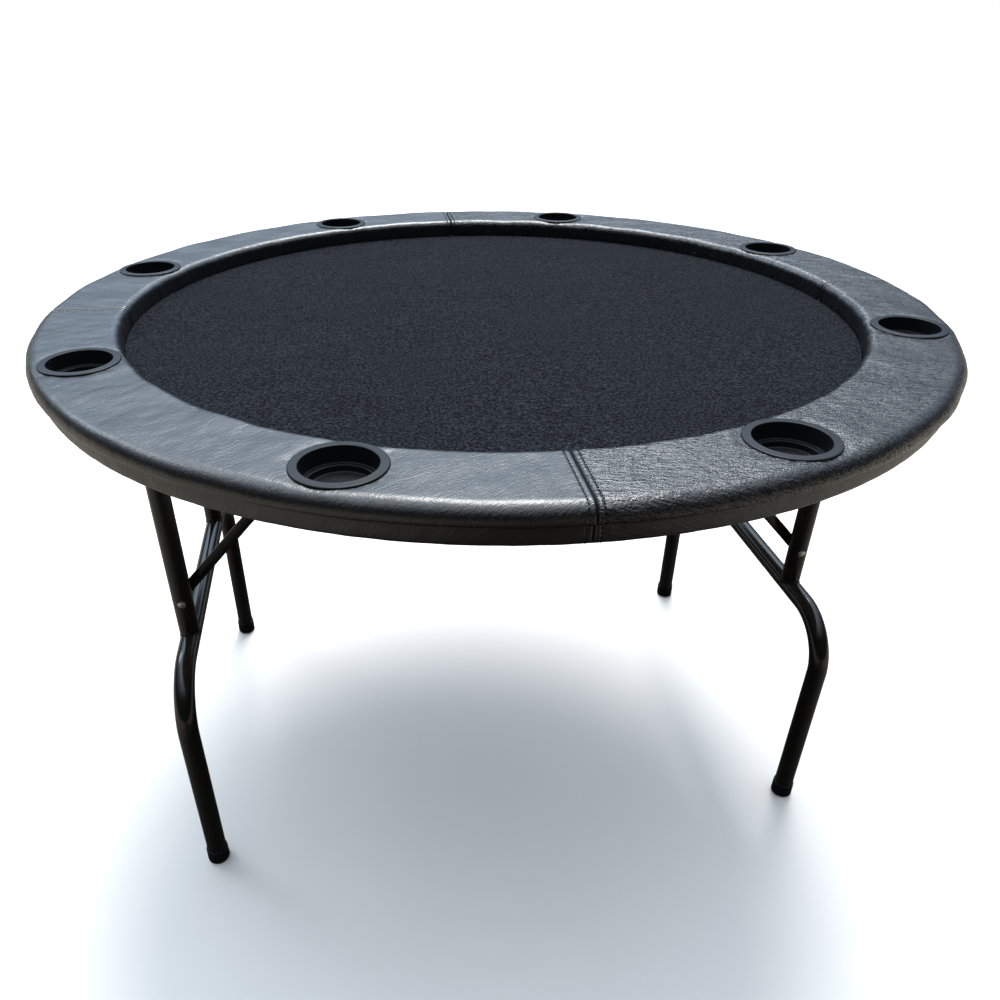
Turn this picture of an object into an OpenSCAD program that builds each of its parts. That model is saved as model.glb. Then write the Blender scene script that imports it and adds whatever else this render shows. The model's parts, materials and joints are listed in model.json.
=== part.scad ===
// Round padded card table with a racetrack rail, eight cup holders and two folding leg sets.
// Frame: origin on the floor under the middle of the table, +Z up, leg sets at -X and +X.

/* [Table top] */
// Diameter over the bulge of the padded rail
table_d = 1216; // [1180:2:1260]
// Height of the rail's top above the floor
rail_top_z = 778; // [745:1:800]
// Radius of the playing field inside the rail
field_r = 498; // [480:1:505]
// Thickness of the plywood deck
deck_t = 10; // [9:0.5:15]
// Thickness of the rail's board ring
core_t = 14; // [12:0.5:16]
// Thickness of the felt
felt_t = 1; // [0.8:0.1:1.5]
// Thickness of the foam sheet under the felt
underlay_t = 6; // [2:0.5:7]
// Thickness of the rail's sewn cover
vinyl_t = 1; // [0.8:0.1:1.2]

// Turn of the rail, with its seams and cups, from square to the leg sets
top_turn = -1.2; // [-3:0.1:3]

/* [Cup holders] */
// Number of cup holders
cup_count = 8; // [8:8]
// Radius of the circle through the cup holders' centres
cup_circle_r = 550; // [548:1:554]
// Radius of a cup's flange
cup_flange_r = 46; // [44:0.5:47]
// Radius of a cup's opening
cup_r = 36.5; // [35:0.5:37]
// Depth of a cup below its flange
cup_depth = 25; // [20:1:25]

/* [Leg sets] */
// Outer diameter of the leg tubing
tube_d = 28.6; // [25:0.1:30]
// Wall of the leg tubing
tube_wall = 1.2; // [1:0.1:2]
// Distance of a leg set from the table's middle
leg_x = 468; // [460:1:475]
// Half of the spacing of a set's two feet
foot_y = 290; // [280:1:300]
// Half of the spacing of a set's two posts
post_y = 164; // [160:1:166]
// Height of the cross tube's centre line
cross_z = 342; // [330:1:350]
// Bend radius of the leg tube's centre line
bend_r = 80; // [70:1:90]
// Height of the pivot tube's centre line
pivot_z = 714; // [712:1:715]
// Half of the pivot tube's length
pivot_half = 214; // [210:1:218]
// Distance from the table's middle plane to a pivot bracket's middle
bracket_y = 191; // [191:1:194]

/* [Folding braces] */
// Distance of the brace's leg rivet below the pivot
leg_rivet_drop = 305; // [295:1:315]
// Distance of the brace's anchor rivet from the pivot
anchor_reach = 284; // [274:1:289]
// Width of a brace bar
bar_w = 16; // [13:0.5:16]
// Thickness of a brace bar
bar_t = 3; // [2.5:0.1:3]
// Radius of the brace rivets' shanks
rivet_r = 3; // [2.5:0.5:4]

/* [Hidden] */
$fn = 96;
eps = 0.01;
small_fn = 32;
sides = ["left", "right"];
ends = ["front", "back"];

// Heights and radii of the top, from the rail's top downwards
rail_h = 42.5;
deck_z = rail_top_z - rail_h;
deck_top = deck_z + deck_t;
felt_top = deck_top + underlay_t + felt_t;
core_z = deck_top + felt_t;
core_top = core_z + core_t;
band_r = table_d / 2 - 8;
deck_r = band_r - vinyl_t - 0.6;
core_in = field_r + 4;
field_step = 0.4;
inner_edge_r = 10;
bulge_r = 16;
roll_r = 3.5;
crease_z = rail_top_z - bulge_r - roll_r;
band_edge_r = 5.5;
deck_edge_r = 4;
tuck_r = deck_r - 28;
felt_under_r = deck_r - 10;
flange_t = 2;
cup_wall = 1.7;
cup_hole_r = cup_r + cup_wall + 0.8;
cup_ledge_r = 31;
cup_ledge_drop = 18;
cup_angles = [for (i = [0:cup_count - 1]) top_turn + (i + 0.5) * 360 / cup_count];
rail_screw_angles = [for (i = [0:7]) top_turn + i * 45];
screw_r = 2.2;
staple_count = 72;

// Leg sets
tube_r = tube_d / 2;
bore_r = tube_r - tube_wall;
cap_h = 24;
cap_wall = 2;
cap_floor = 4;
weld_eps = 0.05;
plug_t = 2.5;
bearing_gap = 0.3;
bracket_w = 20;
bracket_ear = 36;
bracket_screw_x = 27;

// Braces: across the table, outwards from the middle plane
gap = 0.3;
post_face = post_y - tube_r;
spacer_t = 3;
lower_bar_y = post_face - spacer_t - gap - bar_t;
head_t = 2;
elbow_washer_t = 1.2;
elbow_gap = 0.4;
upper_bar_y = lower_bar_y - 2 * elbow_washer_t - elbow_gap - bar_t;
anchor_t = 2.5;
anchor_face = upper_bar_y - gap;
rivet_head_r = 6.5;
post_head_r = 5.5;
head_seat = 1;

// Braces: in the plane of their motion, folded flat the two rivets lie fold_gap apart
rivet_z = pivot_z - leg_rivet_drop;
anchor_x = leg_x - anchor_reach;
brace_l = sqrt(pow(leg_rivet_drop, 2) + pow(anchor_reach, 2));
fold_gap = leg_rivet_drop - anchor_reach;
upper_l = (brace_l - fold_gap) / 2;
brace_angle = atan2(leg_rivet_drop, anchor_reach);
elbow_x = anchor_x + upper_l * cos(brace_angle);
elbow_z = pivot_z - upper_l * sin(brace_angle);

vinyl_black = [0.06, 0.06, 0.07];
plastic_black = [0.09, 0.09, 0.1];
enamel_black = [0.04, 0.04, 0.05];
felt_navy = [0.11, 0.12, 0.16];
zinc = [0.75, 0.76, 0.78];
ply_tan = [0.72, 0.58, 0.4];
board_tan = [0.62, 0.5, 0.36];
foam_grey = [0.5, 0.5, 0.52];

quarter_names = ["back_right", "back_left", "front_left", "front_right"];

// Points of an arc of radius r about c, from angle a to angle b
function arc(c, r, a, b, n = 12) =
    [for (i = [0:n]) c + r * [cos(a + (b - a) * i / n), sin(a + (b - a) * i / n)]];

// The rail's skin line, moved inwards by t: up the inner wall, over the top and down to the crease
function rail_line(t) = concat(
    [[field_r + field_step + t, core_z]],
    arc([field_r + field_step + inner_edge_r, rail_top_z - inner_edge_r], inner_edge_r - t, 180, 90),
    arc([table_d / 2 - bulge_r, rail_top_z - bulge_r], bulge_r - t, 90, 0),
    arc([table_d / 2 - roll_r, rail_top_z - bulge_r], roll_r - t, -10, -80, 5)
);

function reverse(v) = [for (i = [len(v) - 1:-1:0]) v[i]];

// Puts a leg-set part, drawn for the right side's front end, at its own end
module at_end(s, e) {
    mirror([s == "left" ? 1 : 0, 0, 0])
        mirror([0, e == "back" ? 1 : 0, 0])
            children();
}

// A cylinder along +Y that starts at y
module rod_y(x, y, z, r, l) {
    translate([x, y, z])
        rotate([-90, 0, 0])
            cylinder(r = r, h = l);
}

// A screw that is driven up into the deck, with its pan head below z
module screw_up(x, y, z, l, head_r = 4.5, head_h = 2.4) {
    translate([x, y, z])
        cylinder(r = screw_r, h = l, $fn = small_fn);
    translate([x, y, z - head_h])
        rotate_extrude($fn = small_fn)
            polygon(concat(
                [[0, 0]],
                arc([head_r - 1.2, 1.2], 1.2, -90, 0, 4),
                [[head_r, head_h], [0, head_h]]
            ));
}

module rail_screw_places() {
    for (a = rail_screw_angles)
        rotate([0, 0, a])
            translate([cup_circle_r - 2, 0, 0])
                children();
}

// Places of the screws of one leg set's brackets and anchors
module bracket_screw_places() {
    for (sx = [-1, 1], sy = [-1, 1], dx = [-1, 1])
        translate([sx * leg_x + dx * bracket_screw_x, sy * bracket_y, 0])
            children();
}

module anchor_screw_places() {
    for (sx = [-1, 1], sy = [-1, 1], dy = [12, 26])
        translate([sx * anchor_x, sy * (anchor_face - dy), 0])
            children();
}

// Top: deck, playing field and padded rail

module deck_board() {
    color(ply_tan)
        difference() {
            rotate_extrude($fn = 180)
                polygon(concat(
                    [[0, deck_z]],
                    arc([deck_r - deck_edge_r, deck_z + deck_edge_r], deck_edge_r, -90, 0, 6),
                    [[deck_r, deck_top], [0, deck_top]]
                ));
            rail_screw_places()
                translate([0, 0, deck_z - eps])
                    cylinder(r = screw_r, h = deck_t + 2 * eps, $fn = small_fn);
            bracket_screw_places()
                translate([0, 0, deck_z - eps])
                    cylinder(r = screw_r, h = 8 + eps, $fn = small_fn);
            anchor_screw_places()
                translate([0, 0, deck_z - eps])
                    cylinder(r = screw_r, h = 8 + eps, $fn = small_fn);
        }
}

module surface_foam() {
    color(foam_grey)
        translate([0, 0, deck_top])
            cylinder(r = field_r - felt_t, h = underlay_t, $fn = 180);
}

// The felt lies on the foam sheet and runs out flat on the deck under the rail
module felt() {
    color(felt_navy)
        difference() {
            rotate_extrude($fn = 180)
                polygon([
                    [0, felt_top], [field_r, felt_top], [field_r, core_z], [felt_under_r, core_z],
                    [felt_under_r, deck_top], [field_r - felt_t, deck_top],
                    [field_r - felt_t, deck_top + underlay_t], [0, deck_top + underlay_t]
                ]);
            rail_screw_places()
                translate([0, 0, deck_top - 1])
                    cylinder(r = screw_r, h = underlay_t, $fn = small_fn);
        }
}

module cup_places() {
    for (a = cup_angles)
        rotate([0, 0, a])
            translate([cup_circle_r, 0, 0])
                children();
}

module rail_core() {
    color(board_tan)
        difference() {
            translate([0, 0, core_z])
                cylinder(r = deck_r, h = core_t, $fn = 180);
            translate([0, 0, core_z - 1])
                cylinder(r = core_in, h = core_t + 2, $fn = 180);
            cup_places()
                translate([0, 0, core_z - 1])
                    cylinder(r = cup_hole_r, h = core_t + 2);
            rail_screw_places()
                translate([0, 0, core_z - 1])
                    cylinder(r = screw_r, h = core_t - 1, $fn = small_fn);
        }
}

module rail_foam() {
    color(foam_grey)
        difference() {
            rotate_extrude($fn = 180)
                polygon(concat(
                    rail_line(vinyl_t),
                    [[deck_r, core_top], [core_in, core_top], [core_in, core_z]]
                ));
            cup_places()
                translate([0, 0, core_z])
                    cylinder(r = cup_hole_r, h = rail_h);
        }
}

// One sewn quarter of the cover: inner wall, top, bulge, crease, outer band and tuck under the deck
module rail_cover(quarter) {
    edge_c = [band_r - band_edge_r, deck_z - vinyl_t + band_edge_r];
    color(vinyl_black)
        difference() {
            rotate([0, 0, top_turn + quarter * 90])
                rotate_extrude(angle = 90, $fn = 180)
                    polygon(concat(
                        rail_line(0),
                        [[band_r, crease_z]],
                        arc(edge_c, band_edge_r, 0, -90, 6),
                        [[tuck_r, deck_z - vinyl_t], [tuck_r, deck_z]],
                        arc(edge_c, band_edge_r - vinyl_t, -90, 0, 6),
                        [[band_r - vinyl_t, crease_z + vinyl_t]],
                        reverse(rail_line(vinyl_t))
                    ));
            cup_places()
                translate([0, 0, core_top])
                    cylinder(r = cup_hole_r, h = rail_h);
        }
}

module cup_holder(i) {
    top = rail_top_z + flange_t;
    floor_z = top - cup_depth;
    ledge_z = top - cup_ledge_drop;
    color(plastic_black)
        rotate([0, 0, cup_angles[i - 1]])
            translate([cup_circle_r, 0, 0])
                rotate_extrude()
                    polygon(concat(
                        [[0, floor_z - cup_wall],
                         [cup_ledge_r + cup_wall, floor_z - cup_wall],
                         [cup_ledge_r + cup_wall, ledge_z - cup_wall],
                         [cup_r + cup_wall, ledge_z - cup_wall],
                         [cup_r + cup_wall, rail_top_z]],
                        [[cup_flange_r - 0.8, rail_top_z]],
                        arc([cup_flange_r - 1, rail_top_z + flange_t - 1], 1, 0, 90, 4),
                        arc([cup_r + 1, top - 1], 1, 90, 180, 4),
                        [[cup_r, ledge_z], [cup_ledge_r, ledge_z], [cup_ledge_r, floor_z], [0, floor_z]]
                    ));
}

module rail_screws() {
    color(zinc)
        rail_screw_places()
            screw_up(0, 0, deck_z, deck_t + felt_t + core_t - 3);
}

module cover_staples() {
    color(zinc)
        for (i = [0:staple_count - 1])
            rotate([0, 0, (i + 0.5) * 360 / staple_count])
                translate([tuck_r + 8, -5, deck_z - vinyl_t - 0.7])
                    cube([1.2, 10, 0.7]);
}

// Fixings under the deck

module pivot_bracket(s, e) {
    color(plastic_black)
        at_end(s, e)
            translate([leg_x, -bracket_y, 0])
                difference() {
                    union() {
                        rod_y(0, -bracket_w / 2, pivot_z, tube_r + 4.5, bracket_w);
                        translate([-tube_r - 4.5, -bracket_w / 2, pivot_z])
                            cube([tube_d + 9, bracket_w, deck_z - pivot_z]);
                        translate([-bracket_ear, -bracket_w / 2, deck_z - 5])
                            cube([2 * bracket_ear, bracket_w, 5]);
                    }
                    rod_y(0, -bracket_w, pivot_z, tube_r + bearing_gap, 2 * bracket_w);
                    for (dx = [-1, 1])
                        translate([dx * bracket_screw_x, 0, deck_z - 6])
                            cylinder(r = screw_r, h = 7, $fn = small_fn);
                }
}

module bracket_screws() {
    color(zinc)
        bracket_screw_places()
            screw_up(0, 0, deck_z - 5, 12);
}

// A pressed angle: a foot screwed to the deck and a round-ended cheek for the brace's rivet
module brace_anchor(s, e) {
    cheek_w = 26;
    foot_l = 36;
    color(zinc)
        at_end(s, e)
            difference() {
                union() {
                    translate([anchor_x - cheek_w / 2, -anchor_face, deck_z - anchor_t])
                        cube([cheek_w, foot_l, anchor_t]);
                    translate([anchor_x - cheek_w / 2, -anchor_face, pivot_z])
                        cube([cheek_w, anchor_t, deck_z - pivot_z]);
                    rod_y(anchor_x, -anchor_face, pivot_z, cheek_w / 2, anchor_t);
                }
                rod_y(anchor_x, -anchor_face - 1, pivot_z, rivet_r, anchor_t + 2);
                for (dy = [12, 26])
                    translate([anchor_x, -anchor_face + dy, deck_z - anchor_t - 1])
                        cylinder(r = screw_r, h = anchor_t + 2, $fn = small_fn);
            }
}

module anchor_screws() {
    color(zinc)
        anchor_screw_places()
            screw_up(0, 0, deck_z - anchor_t, 7 + anchor_t);
}

// A rivet head with a rounded rim, its flat face at y, standing towards -Y
module head_out(x, y, z, r) {
    translate([x, y, z])
        rotate([90, 0, 0])
            rotate_extrude($fn = small_fn)
                polygon(concat(
                    [[0, 0], [r, 0]],
                    arc([r - 1.2, head_t - 1.2], 1.2, 0, 90, 4),
                    [[0, head_t]]
                ));
}

// The same head standing towards +Y
module head_in(x, y, z, r) {
    mirror([0, 1, 0])
        head_out(x, -y, z, r);
}

module anchor_rivets() {
    color(zinc)
        for (s = sides, e = ends)
            at_end(s, e) {
                head_out(anchor_x, -upper_bar_y - bar_t - gap, pivot_z, rivet_head_r);
                rod_y(anchor_x, -upper_bar_y - bar_t - gap, pivot_z, rivet_r, bar_t + 2 * gap + anchor_t);
                head_in(anchor_x, -anchor_face + anchor_t, pivot_z, rivet_head_r);
            }
}

// Leg sets

module pivot_tube(s) {
    color(enamel_black)
        at_end(s, "front")
            difference() {
                rod_y(leg_x, -pivot_half, pivot_z, tube_r, 2 * pivot_half);
                rod_y(leg_x, -pivot_half - 1, pivot_z, bore_r, 2 * pivot_half + 2);
            }
}

module pivot_plugs(s) {
    color(plastic_black)
        for (e = ends)
            at_end(s, e) {
                rod_y(leg_x, -pivot_half - plug_t, pivot_z, tube_r, plug_t);
                rod_y(leg_x, -pivot_half, pivot_z, bore_r, 12);
            }
}

// The inverted U that carries the feet, as a solid bar of radius r with its ends at z
module leg_run(r, z) {
    bend_y = foot_y - bend_r;
    for (sy = [-1, 1]) {
        translate([0, sy * foot_y, z])
            cylinder(r = r, h = cross_z - bend_r - z);
        translate([0, sy * bend_y, cross_z - bend_r])
            rotate([90, 0, sy > 0 ? 90 : -90])
                rotate_extrude(angle = 90)
                    translate([bend_r, 0])
                        circle(r = r);
    }
    rod_y(0, -bend_y, cross_z, r, 2 * bend_y);
}

module leg_tube(s) {
    color(enamel_black)
        at_end(s, "front")
            translate([leg_x, 0, 0])
                difference() {
                    leg_run(tube_r, cap_floor);
                    leg_run(bore_r, cap_floor - 1);
                }
}

// A post is coped to sit on the cross tube and up against the pivot tube, with a flat for its rivet's head
module post(s, e) {
    color(enamel_black)
        at_end(s, e)
            difference() {
                translate([leg_x, -post_y, cross_z])
                    cylinder(r = tube_r, h = pivot_z - cross_z);
                translate([leg_x, -post_y, cross_z - 1])
                    cylinder(r = bore_r, h = pivot_z - cross_z + 2);
                for (z = [cross_z, pivot_z])
                    rod_y(leg_x, -post_y - tube_d, z, tube_r + weld_eps, 2 * tube_d);
                rod_y(leg_x, -post_y - tube_d, rivet_z, rivet_r, 2 * tube_d);
                rod_y(leg_x, -post_y - tube_d, rivet_z, post_head_r, tube_d - tube_r + head_seat);
            }
}

module foot_cap(s, e) {
    r = tube_r + cap_wall;
    color(plastic_black)
        at_end(s, e)
            translate([leg_x, -foot_y, 0])
                rotate_extrude()
                    polygon(concat(
                        [[0, 0]],
                        arc([r - 2.5, 2.5], 2.5, -90, 0, 6),
                        arc([r - 1, cap_h - 1], 1, 0, 90, 4),
                        [[tube_r, cap_h], [tube_r, cap_floor], [0, cap_floor]]
                    ));
}

// The rivet through each post, with its spacer and the head that holds the lower brace
module leg_rivets(s) {
    outer_y = post_y + tube_r - head_seat;
    inner_y = lower_bar_y - gap;
    color(zinc)
        for (e = ends)
            at_end(s, e) {
                head_out(leg_x, -outer_y, rivet_z, post_head_r);
                rod_y(leg_x, -outer_y, rivet_z, rivet_r, outer_y - inner_y);
                rod_y(leg_x, -post_face, rivet_z, rivet_head_r, spacer_t);
                head_in(leg_x, -inner_y, rivet_z, rivet_head_r);
            }
}

// Folding braces

// A flat bar with round ends from a to b in the plane of motion, its outer face at y
module bar(a, b, y, hole_a, hole_b) {
    d = b - a;
    l = norm(d);
    translate([a[0], y, a[1]])
        rotate([0, -atan2(d[1], d[0]), 0])
            difference() {
                union() {
                    rod_y(0, 0, 0, bar_w / 2, bar_t);
                    rod_y(l, 0, 0, bar_w / 2, bar_t);
                    translate([0, 0, -bar_w / 2])
                        cube([l, bar_t, bar_w]);
                }
                rod_y(0, -1, 0, hole_a, bar_t + 2);
                if (hole_b > 0)
                    rod_y(l, -1, 0, hole_b, bar_t + 2);
            }
}

module lower_brace(s, e) {
    color(enamel_black)
        at_end(s, e)
            bar([leg_x, rivet_z], [elbow_x, elbow_z], -lower_bar_y - bar_t, rivet_r + gap, rivet_r);
}

// The half of the elbow's rivet that stays on the lower brace, with its washer
module elbow_rivet(s, e) {
    color(zinc)
        at_end(s, e) {
            head_out(elbow_x, -lower_bar_y - bar_t, elbow_z, rivet_head_r);
            rod_y(elbow_x, -lower_bar_y - bar_t, elbow_z, rivet_r, bar_t);
            rod_y(elbow_x, -lower_bar_y, elbow_z, rivet_head_r, elbow_washer_t);
        }
}

// The upper brace carries the other half of the elbow's rivet as a pressed boss
module upper_brace(s, e) {
    color(enamel_black)
        at_end(s, e) {
            bar([anchor_x, pivot_z], [elbow_x, elbow_z], -upper_bar_y - bar_t, rivet_r + gap, 0);
            rod_y(elbow_x, -upper_bar_y - bar_t - elbow_washer_t, elbow_z, rivet_head_r, elbow_washer_t);
            head_in(elbow_x, -upper_bar_y, elbow_z, rivet_head_r);
        }
}

deck_board();
surface_foam();
felt();
rail_core();
rail_foam();
for (q = [0:3]) rail_cover(q);
for (i = [1:cup_count]) cup_holder(i);
rail_screws();
cover_staples();
bracket_screws();
anchor_screws();
anchor_rivets();
for (s = sides) pivot_tube(s);
for (s = sides) pivot_plugs(s);
for (s = sides) leg_tube(s);
for (s = sides) leg_rivets(s);
for (s = sides, e = ends)
    pivot_bracket(s, e);
for (s = sides, e = ends) brace_anchor(s, e);
for (s = sides, e = ends) post(s, e);
for (s = sides, e = ends) foot_cap(s, e);
for (s = sides, e = ends) lower_brace(s, e);
for (s = sides, e = ends) elbow_rivet(s, e);
for (s = sides, e = ends) upper_brace(s, e);
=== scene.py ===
"""Round folding card table: the finished pieces and their materials, made around the packed CAD frame."""

import json
import math

import bmesh
import bpy
import numpy as np
from mathutils import Matrix, Vector


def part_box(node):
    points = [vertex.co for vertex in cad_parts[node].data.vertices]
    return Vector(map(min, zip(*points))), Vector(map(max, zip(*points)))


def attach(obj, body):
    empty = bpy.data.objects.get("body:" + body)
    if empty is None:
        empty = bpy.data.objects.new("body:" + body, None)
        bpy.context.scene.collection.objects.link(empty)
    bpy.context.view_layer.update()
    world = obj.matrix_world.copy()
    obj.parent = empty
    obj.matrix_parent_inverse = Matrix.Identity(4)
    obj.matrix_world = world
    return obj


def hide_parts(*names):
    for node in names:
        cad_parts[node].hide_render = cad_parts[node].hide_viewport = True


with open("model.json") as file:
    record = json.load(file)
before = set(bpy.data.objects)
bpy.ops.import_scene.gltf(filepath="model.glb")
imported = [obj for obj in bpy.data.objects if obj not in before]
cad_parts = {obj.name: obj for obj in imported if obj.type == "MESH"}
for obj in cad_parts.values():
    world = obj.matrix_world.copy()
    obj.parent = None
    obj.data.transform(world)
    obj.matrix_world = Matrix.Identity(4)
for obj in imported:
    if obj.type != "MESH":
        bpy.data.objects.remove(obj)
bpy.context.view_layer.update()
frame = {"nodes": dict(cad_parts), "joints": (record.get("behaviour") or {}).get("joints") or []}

bl_info = {
    "name": "Folding card table",
    "version": (1, 0, 0),
    "blender": (4, 5, 0),
    "location": "3D View > Sidebar > Card table",
    "description": "Makes a padded round card table on two folding leg sets",
    "category": "Add Mesh",
}

MM = 0.001
SIDES = {"left": -1, "right": 1}
ENDS = {"front": -1, "back": 1}
QUARTERS = ("back_right", "back_left", "front_left", "front_right")
CUPS = range(1, 9)


# ---------------------------------------------------------------- places, read from the frame

def middle(node):
    low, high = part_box(node)
    return (low + high) / 2


def span(node):
    low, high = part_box(node)
    return high - low


def joint_place(name):
    return Vector(next(j for j in frame["joints"] if j["name"] == name)["pos_m"])


COVER_LOW, COVER_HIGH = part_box("rail_cover_back_right")
FELT_LOW, FELT_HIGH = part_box("felt")
CUP_PLACES = [middle(f"cup_holder_{i}") for i in CUPS]
RAIL_TURN = math.atan2(CUP_PLACES[0].y, CUP_PLACES[0].x) - math.pi / 8
RAIL_TOP = COVER_HIGH.z
COVER_R = [math.hypot(v.co.x, v.co.y) for v in frame["nodes"]["rail_cover_back_right"].data.vertices]
COVER_INNER_R, COVER_OUTER_R = min(COVER_R), max(COVER_R)
FELT_R = FELT_HIGH.x
TUBE_R = span("pivot_tube_left").x / 2
PIVOT_Z = middle("pivot_tube_left").z
CROSS_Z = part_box("leg_tube_left")[1].z - TUBE_R
LEG_X = middle("leg_tube_right").x
FOOT_Y = middle("foot_cap_back_right").y
POST_Y = middle("post_back_right").y
RIVET_Z = joint_place("left_front_lower_brace_turn").z


# ---------------------------------------------------------------- sizes and colours a user may change

def length(name, description, default):
    return bpy.props.FloatProperty(name=name, description=description, default=default, min=0.0,
                                   unit="LENGTH", precision=4)


def colour(name, description, default):
    return bpy.props.FloatVectorProperty(name=name, description=description, default=default, size=3,
                                         min=0.0, max=1.0, subtype="COLOR")


def angle(name, description, degrees):
    return bpy.props.FloatProperty(name=name, description=description, default=math.radians(degrees),
                                   subtype="ANGLE")


class RailSettings(bpy.types.PropertyGroup):
    """Sizes and colours of the padded rail"""
    proud: length("Padding swell", "How far the foam lifts the cover", 0.5 * MM)
    groove: length("Seam depth", "Depth of the seam's groove", 1.7 * MM)
    row_offset: length("Stitch row offset", "Distance from the seam to a stitch row", 6.8 * MM)
    stitch_pitch: length("Stitch pitch", "Distance from one stitch to the next", 4.6 * MM)
    stitch_length: length("Stitch length", "Length of a stitch", 3.3 * MM)
    thread: length("Thread", "Thickness of the thread", 1.45 * MM)
    vinyl_dark: colour("Vinyl, hollows", "Colour of the vinyl in the hollows of its grain",
                       (0.0022, 0.0022, 0.0026))
    vinyl_light: colour("Vinyl, grain", "Colour of the vinyl on its raised grain", (0.0085, 0.0085, 0.0095))
    thread_colour: colour("Thread", "Colour of the thread", (0.0022, 0.0022, 0.0026))


class FeltSettings(bpy.types.PropertyGroup):
    """Sizes and colours of the playing field"""
    swell: length("Swell", "Height of the felt's slow waves", 0.45 * MM)
    dark: colour("Felt, dark", "Dark fibres of the felt", (0.0012, 0.0014, 0.0020))
    light: colour("Felt, light", "Light fibres of the felt", (0.0300, 0.0345, 0.0450))
    lint: colour("Lint", "Colour of the lint on the felt", (0.55, 0.55, 0.56))


class CupSettings(bpy.types.PropertyGroup):
    """Sizes and colours of the cup holders"""
    flange: length("Flange radius", "Radius of a cup's flange", span("cup_holder_1").x / 2)
    opening: length("Opening radius", "Radius of a cup's opening", 36.5 * MM)
    wall: length("Wall", "Thickness of a cup's wall", 1.7 * MM)
    ledge: length("Ledge radius", "Radius inside the ledge", 31 * MM)
    ledge_drop: length("Ledge drop", "Depth of the ledge below the flange", 18 * MM)
    plastic: colour("Plastic", "Colour of the moulded plastic", (0.0075, 0.0080, 0.0095))


class LegSettings(bpy.types.PropertyGroup):
    """Sizes and colours of the leg sets and braces"""
    bend: length("Bend radius", "Bend radius of the leg tube's middle line", 80 * MM)
    weld: length("Weld", "Thickness of a weld bead", 2.0 * MM)
    edge: length("Edge", "Rounding of cut steel edges", 0.5 * MM)
    enamel: colour("Enamel", "Colour of the gloss enamel", (0.012, 0.011, 0.0095))
    rubber: colour("Caps", "Colour of the caps and bearing blocks", (0.012, 0.012, 0.013))
    zinc: colour("Zinc", "Colour of the zinc plate", (0.66, 0.66, 0.64))


class StageSettings(bpy.types.PropertyGroup):
    """The floor, the lights and the camera"""
    camera: bpy.props.FloatVectorProperty(
        name="Camera", description="Place of the camera", size=3, default=(-0.2049, -1.1699, 1.1130),
        subtype="TRANSLATION", unit="LENGTH")
    yaw: angle("Yaw", "Camera's turn to the right of straight ahead", 7.863)
    pitch: angle("Pitch", "Camera's tilt below level", 32.89)
    roll: angle("Roll", "Camera's roll", -0.177)
    lens: bpy.props.FloatProperty(name="Lens", description="Focal length", default=29.81, unit="CAMERA")
    floor: colour("Floor", "Colour of the floor", (0.82, 0.79, 0.76))
    # painted shade in reflections: the floor colours that the table's gloss shows, darkest in front
    cast_near: colour("Near cast", "Colour of the floor in front, in reflections", (0.030, 0.026, 0.022))
    cast_side: colour("Side cast", "Colour of the floor to the sides, in reflections", (0.27, 0.23, 0.185))
    backdrop: colour("Backdrop", "Colour behind the floor's far edge", (1.0, 1.0, 1.0))
    strength: bpy.props.FloatProperty(name="Strength", description="Brightness of the light overhead",
                                      default=3.0)
    sky: colour("Surroundings", "Colour of the light from behind the table", (0.44, 0.68, 1.0))
    ceiling: colour("Ceiling", "Colour of the light from overhead", (0.78, 0.89, 1.0))


GROUPS = {"rail": RailSettings, "felt": FeltSettings, "cups": CupSettings, "legs": LegSettings,
          "stage": StageSettings}


def settings(group):
    return getattr(bpy.context.scene, "card_table_" + group)


# ---------------------------------------------------------------- node trees

class Value:
    """An output socket that takes part in sums: each operator adds its Math node."""

    def __init__(self, net, socket):
        self.net = net
        self.socket = socket

    def out(self, name):
        return Value(self.net, self.socket.node.outputs[name])

    def _math(self, operation, first, second=None):
        sockets = {0: first} if second is None else {0: first, 1: second}
        return self.net.node("ShaderNodeMath", {"operation": operation}, sockets)

    def __add__(self, other):
        return self._math("ADD", self, other)

    def __sub__(self, other):
        return self._math("SUBTRACT", self, other)

    def __rsub__(self, other):
        return self._math("SUBTRACT", other, self)

    def __mul__(self, other):
        return self._math("MULTIPLY", self, other)

    def __gt__(self, other):
        return self._math("GREATER_THAN", self, other)

    def __lt__(self, other):
        return self._math("LESS_THAN", self, other)

    def __abs__(self):
        return self._math("ABSOLUTE", self)

    __radd__ = __add__
    __rmul__ = __mul__

    def step(self, low, high):
        """0 below low, 1 above high, smooth between."""
        return self.net.node("ShaderNodeMapRange", {"interpolation_type": "SMOOTHSTEP", "clamp": True},
                             {"Value": self, "From Min": low, "From Max": high})


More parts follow.
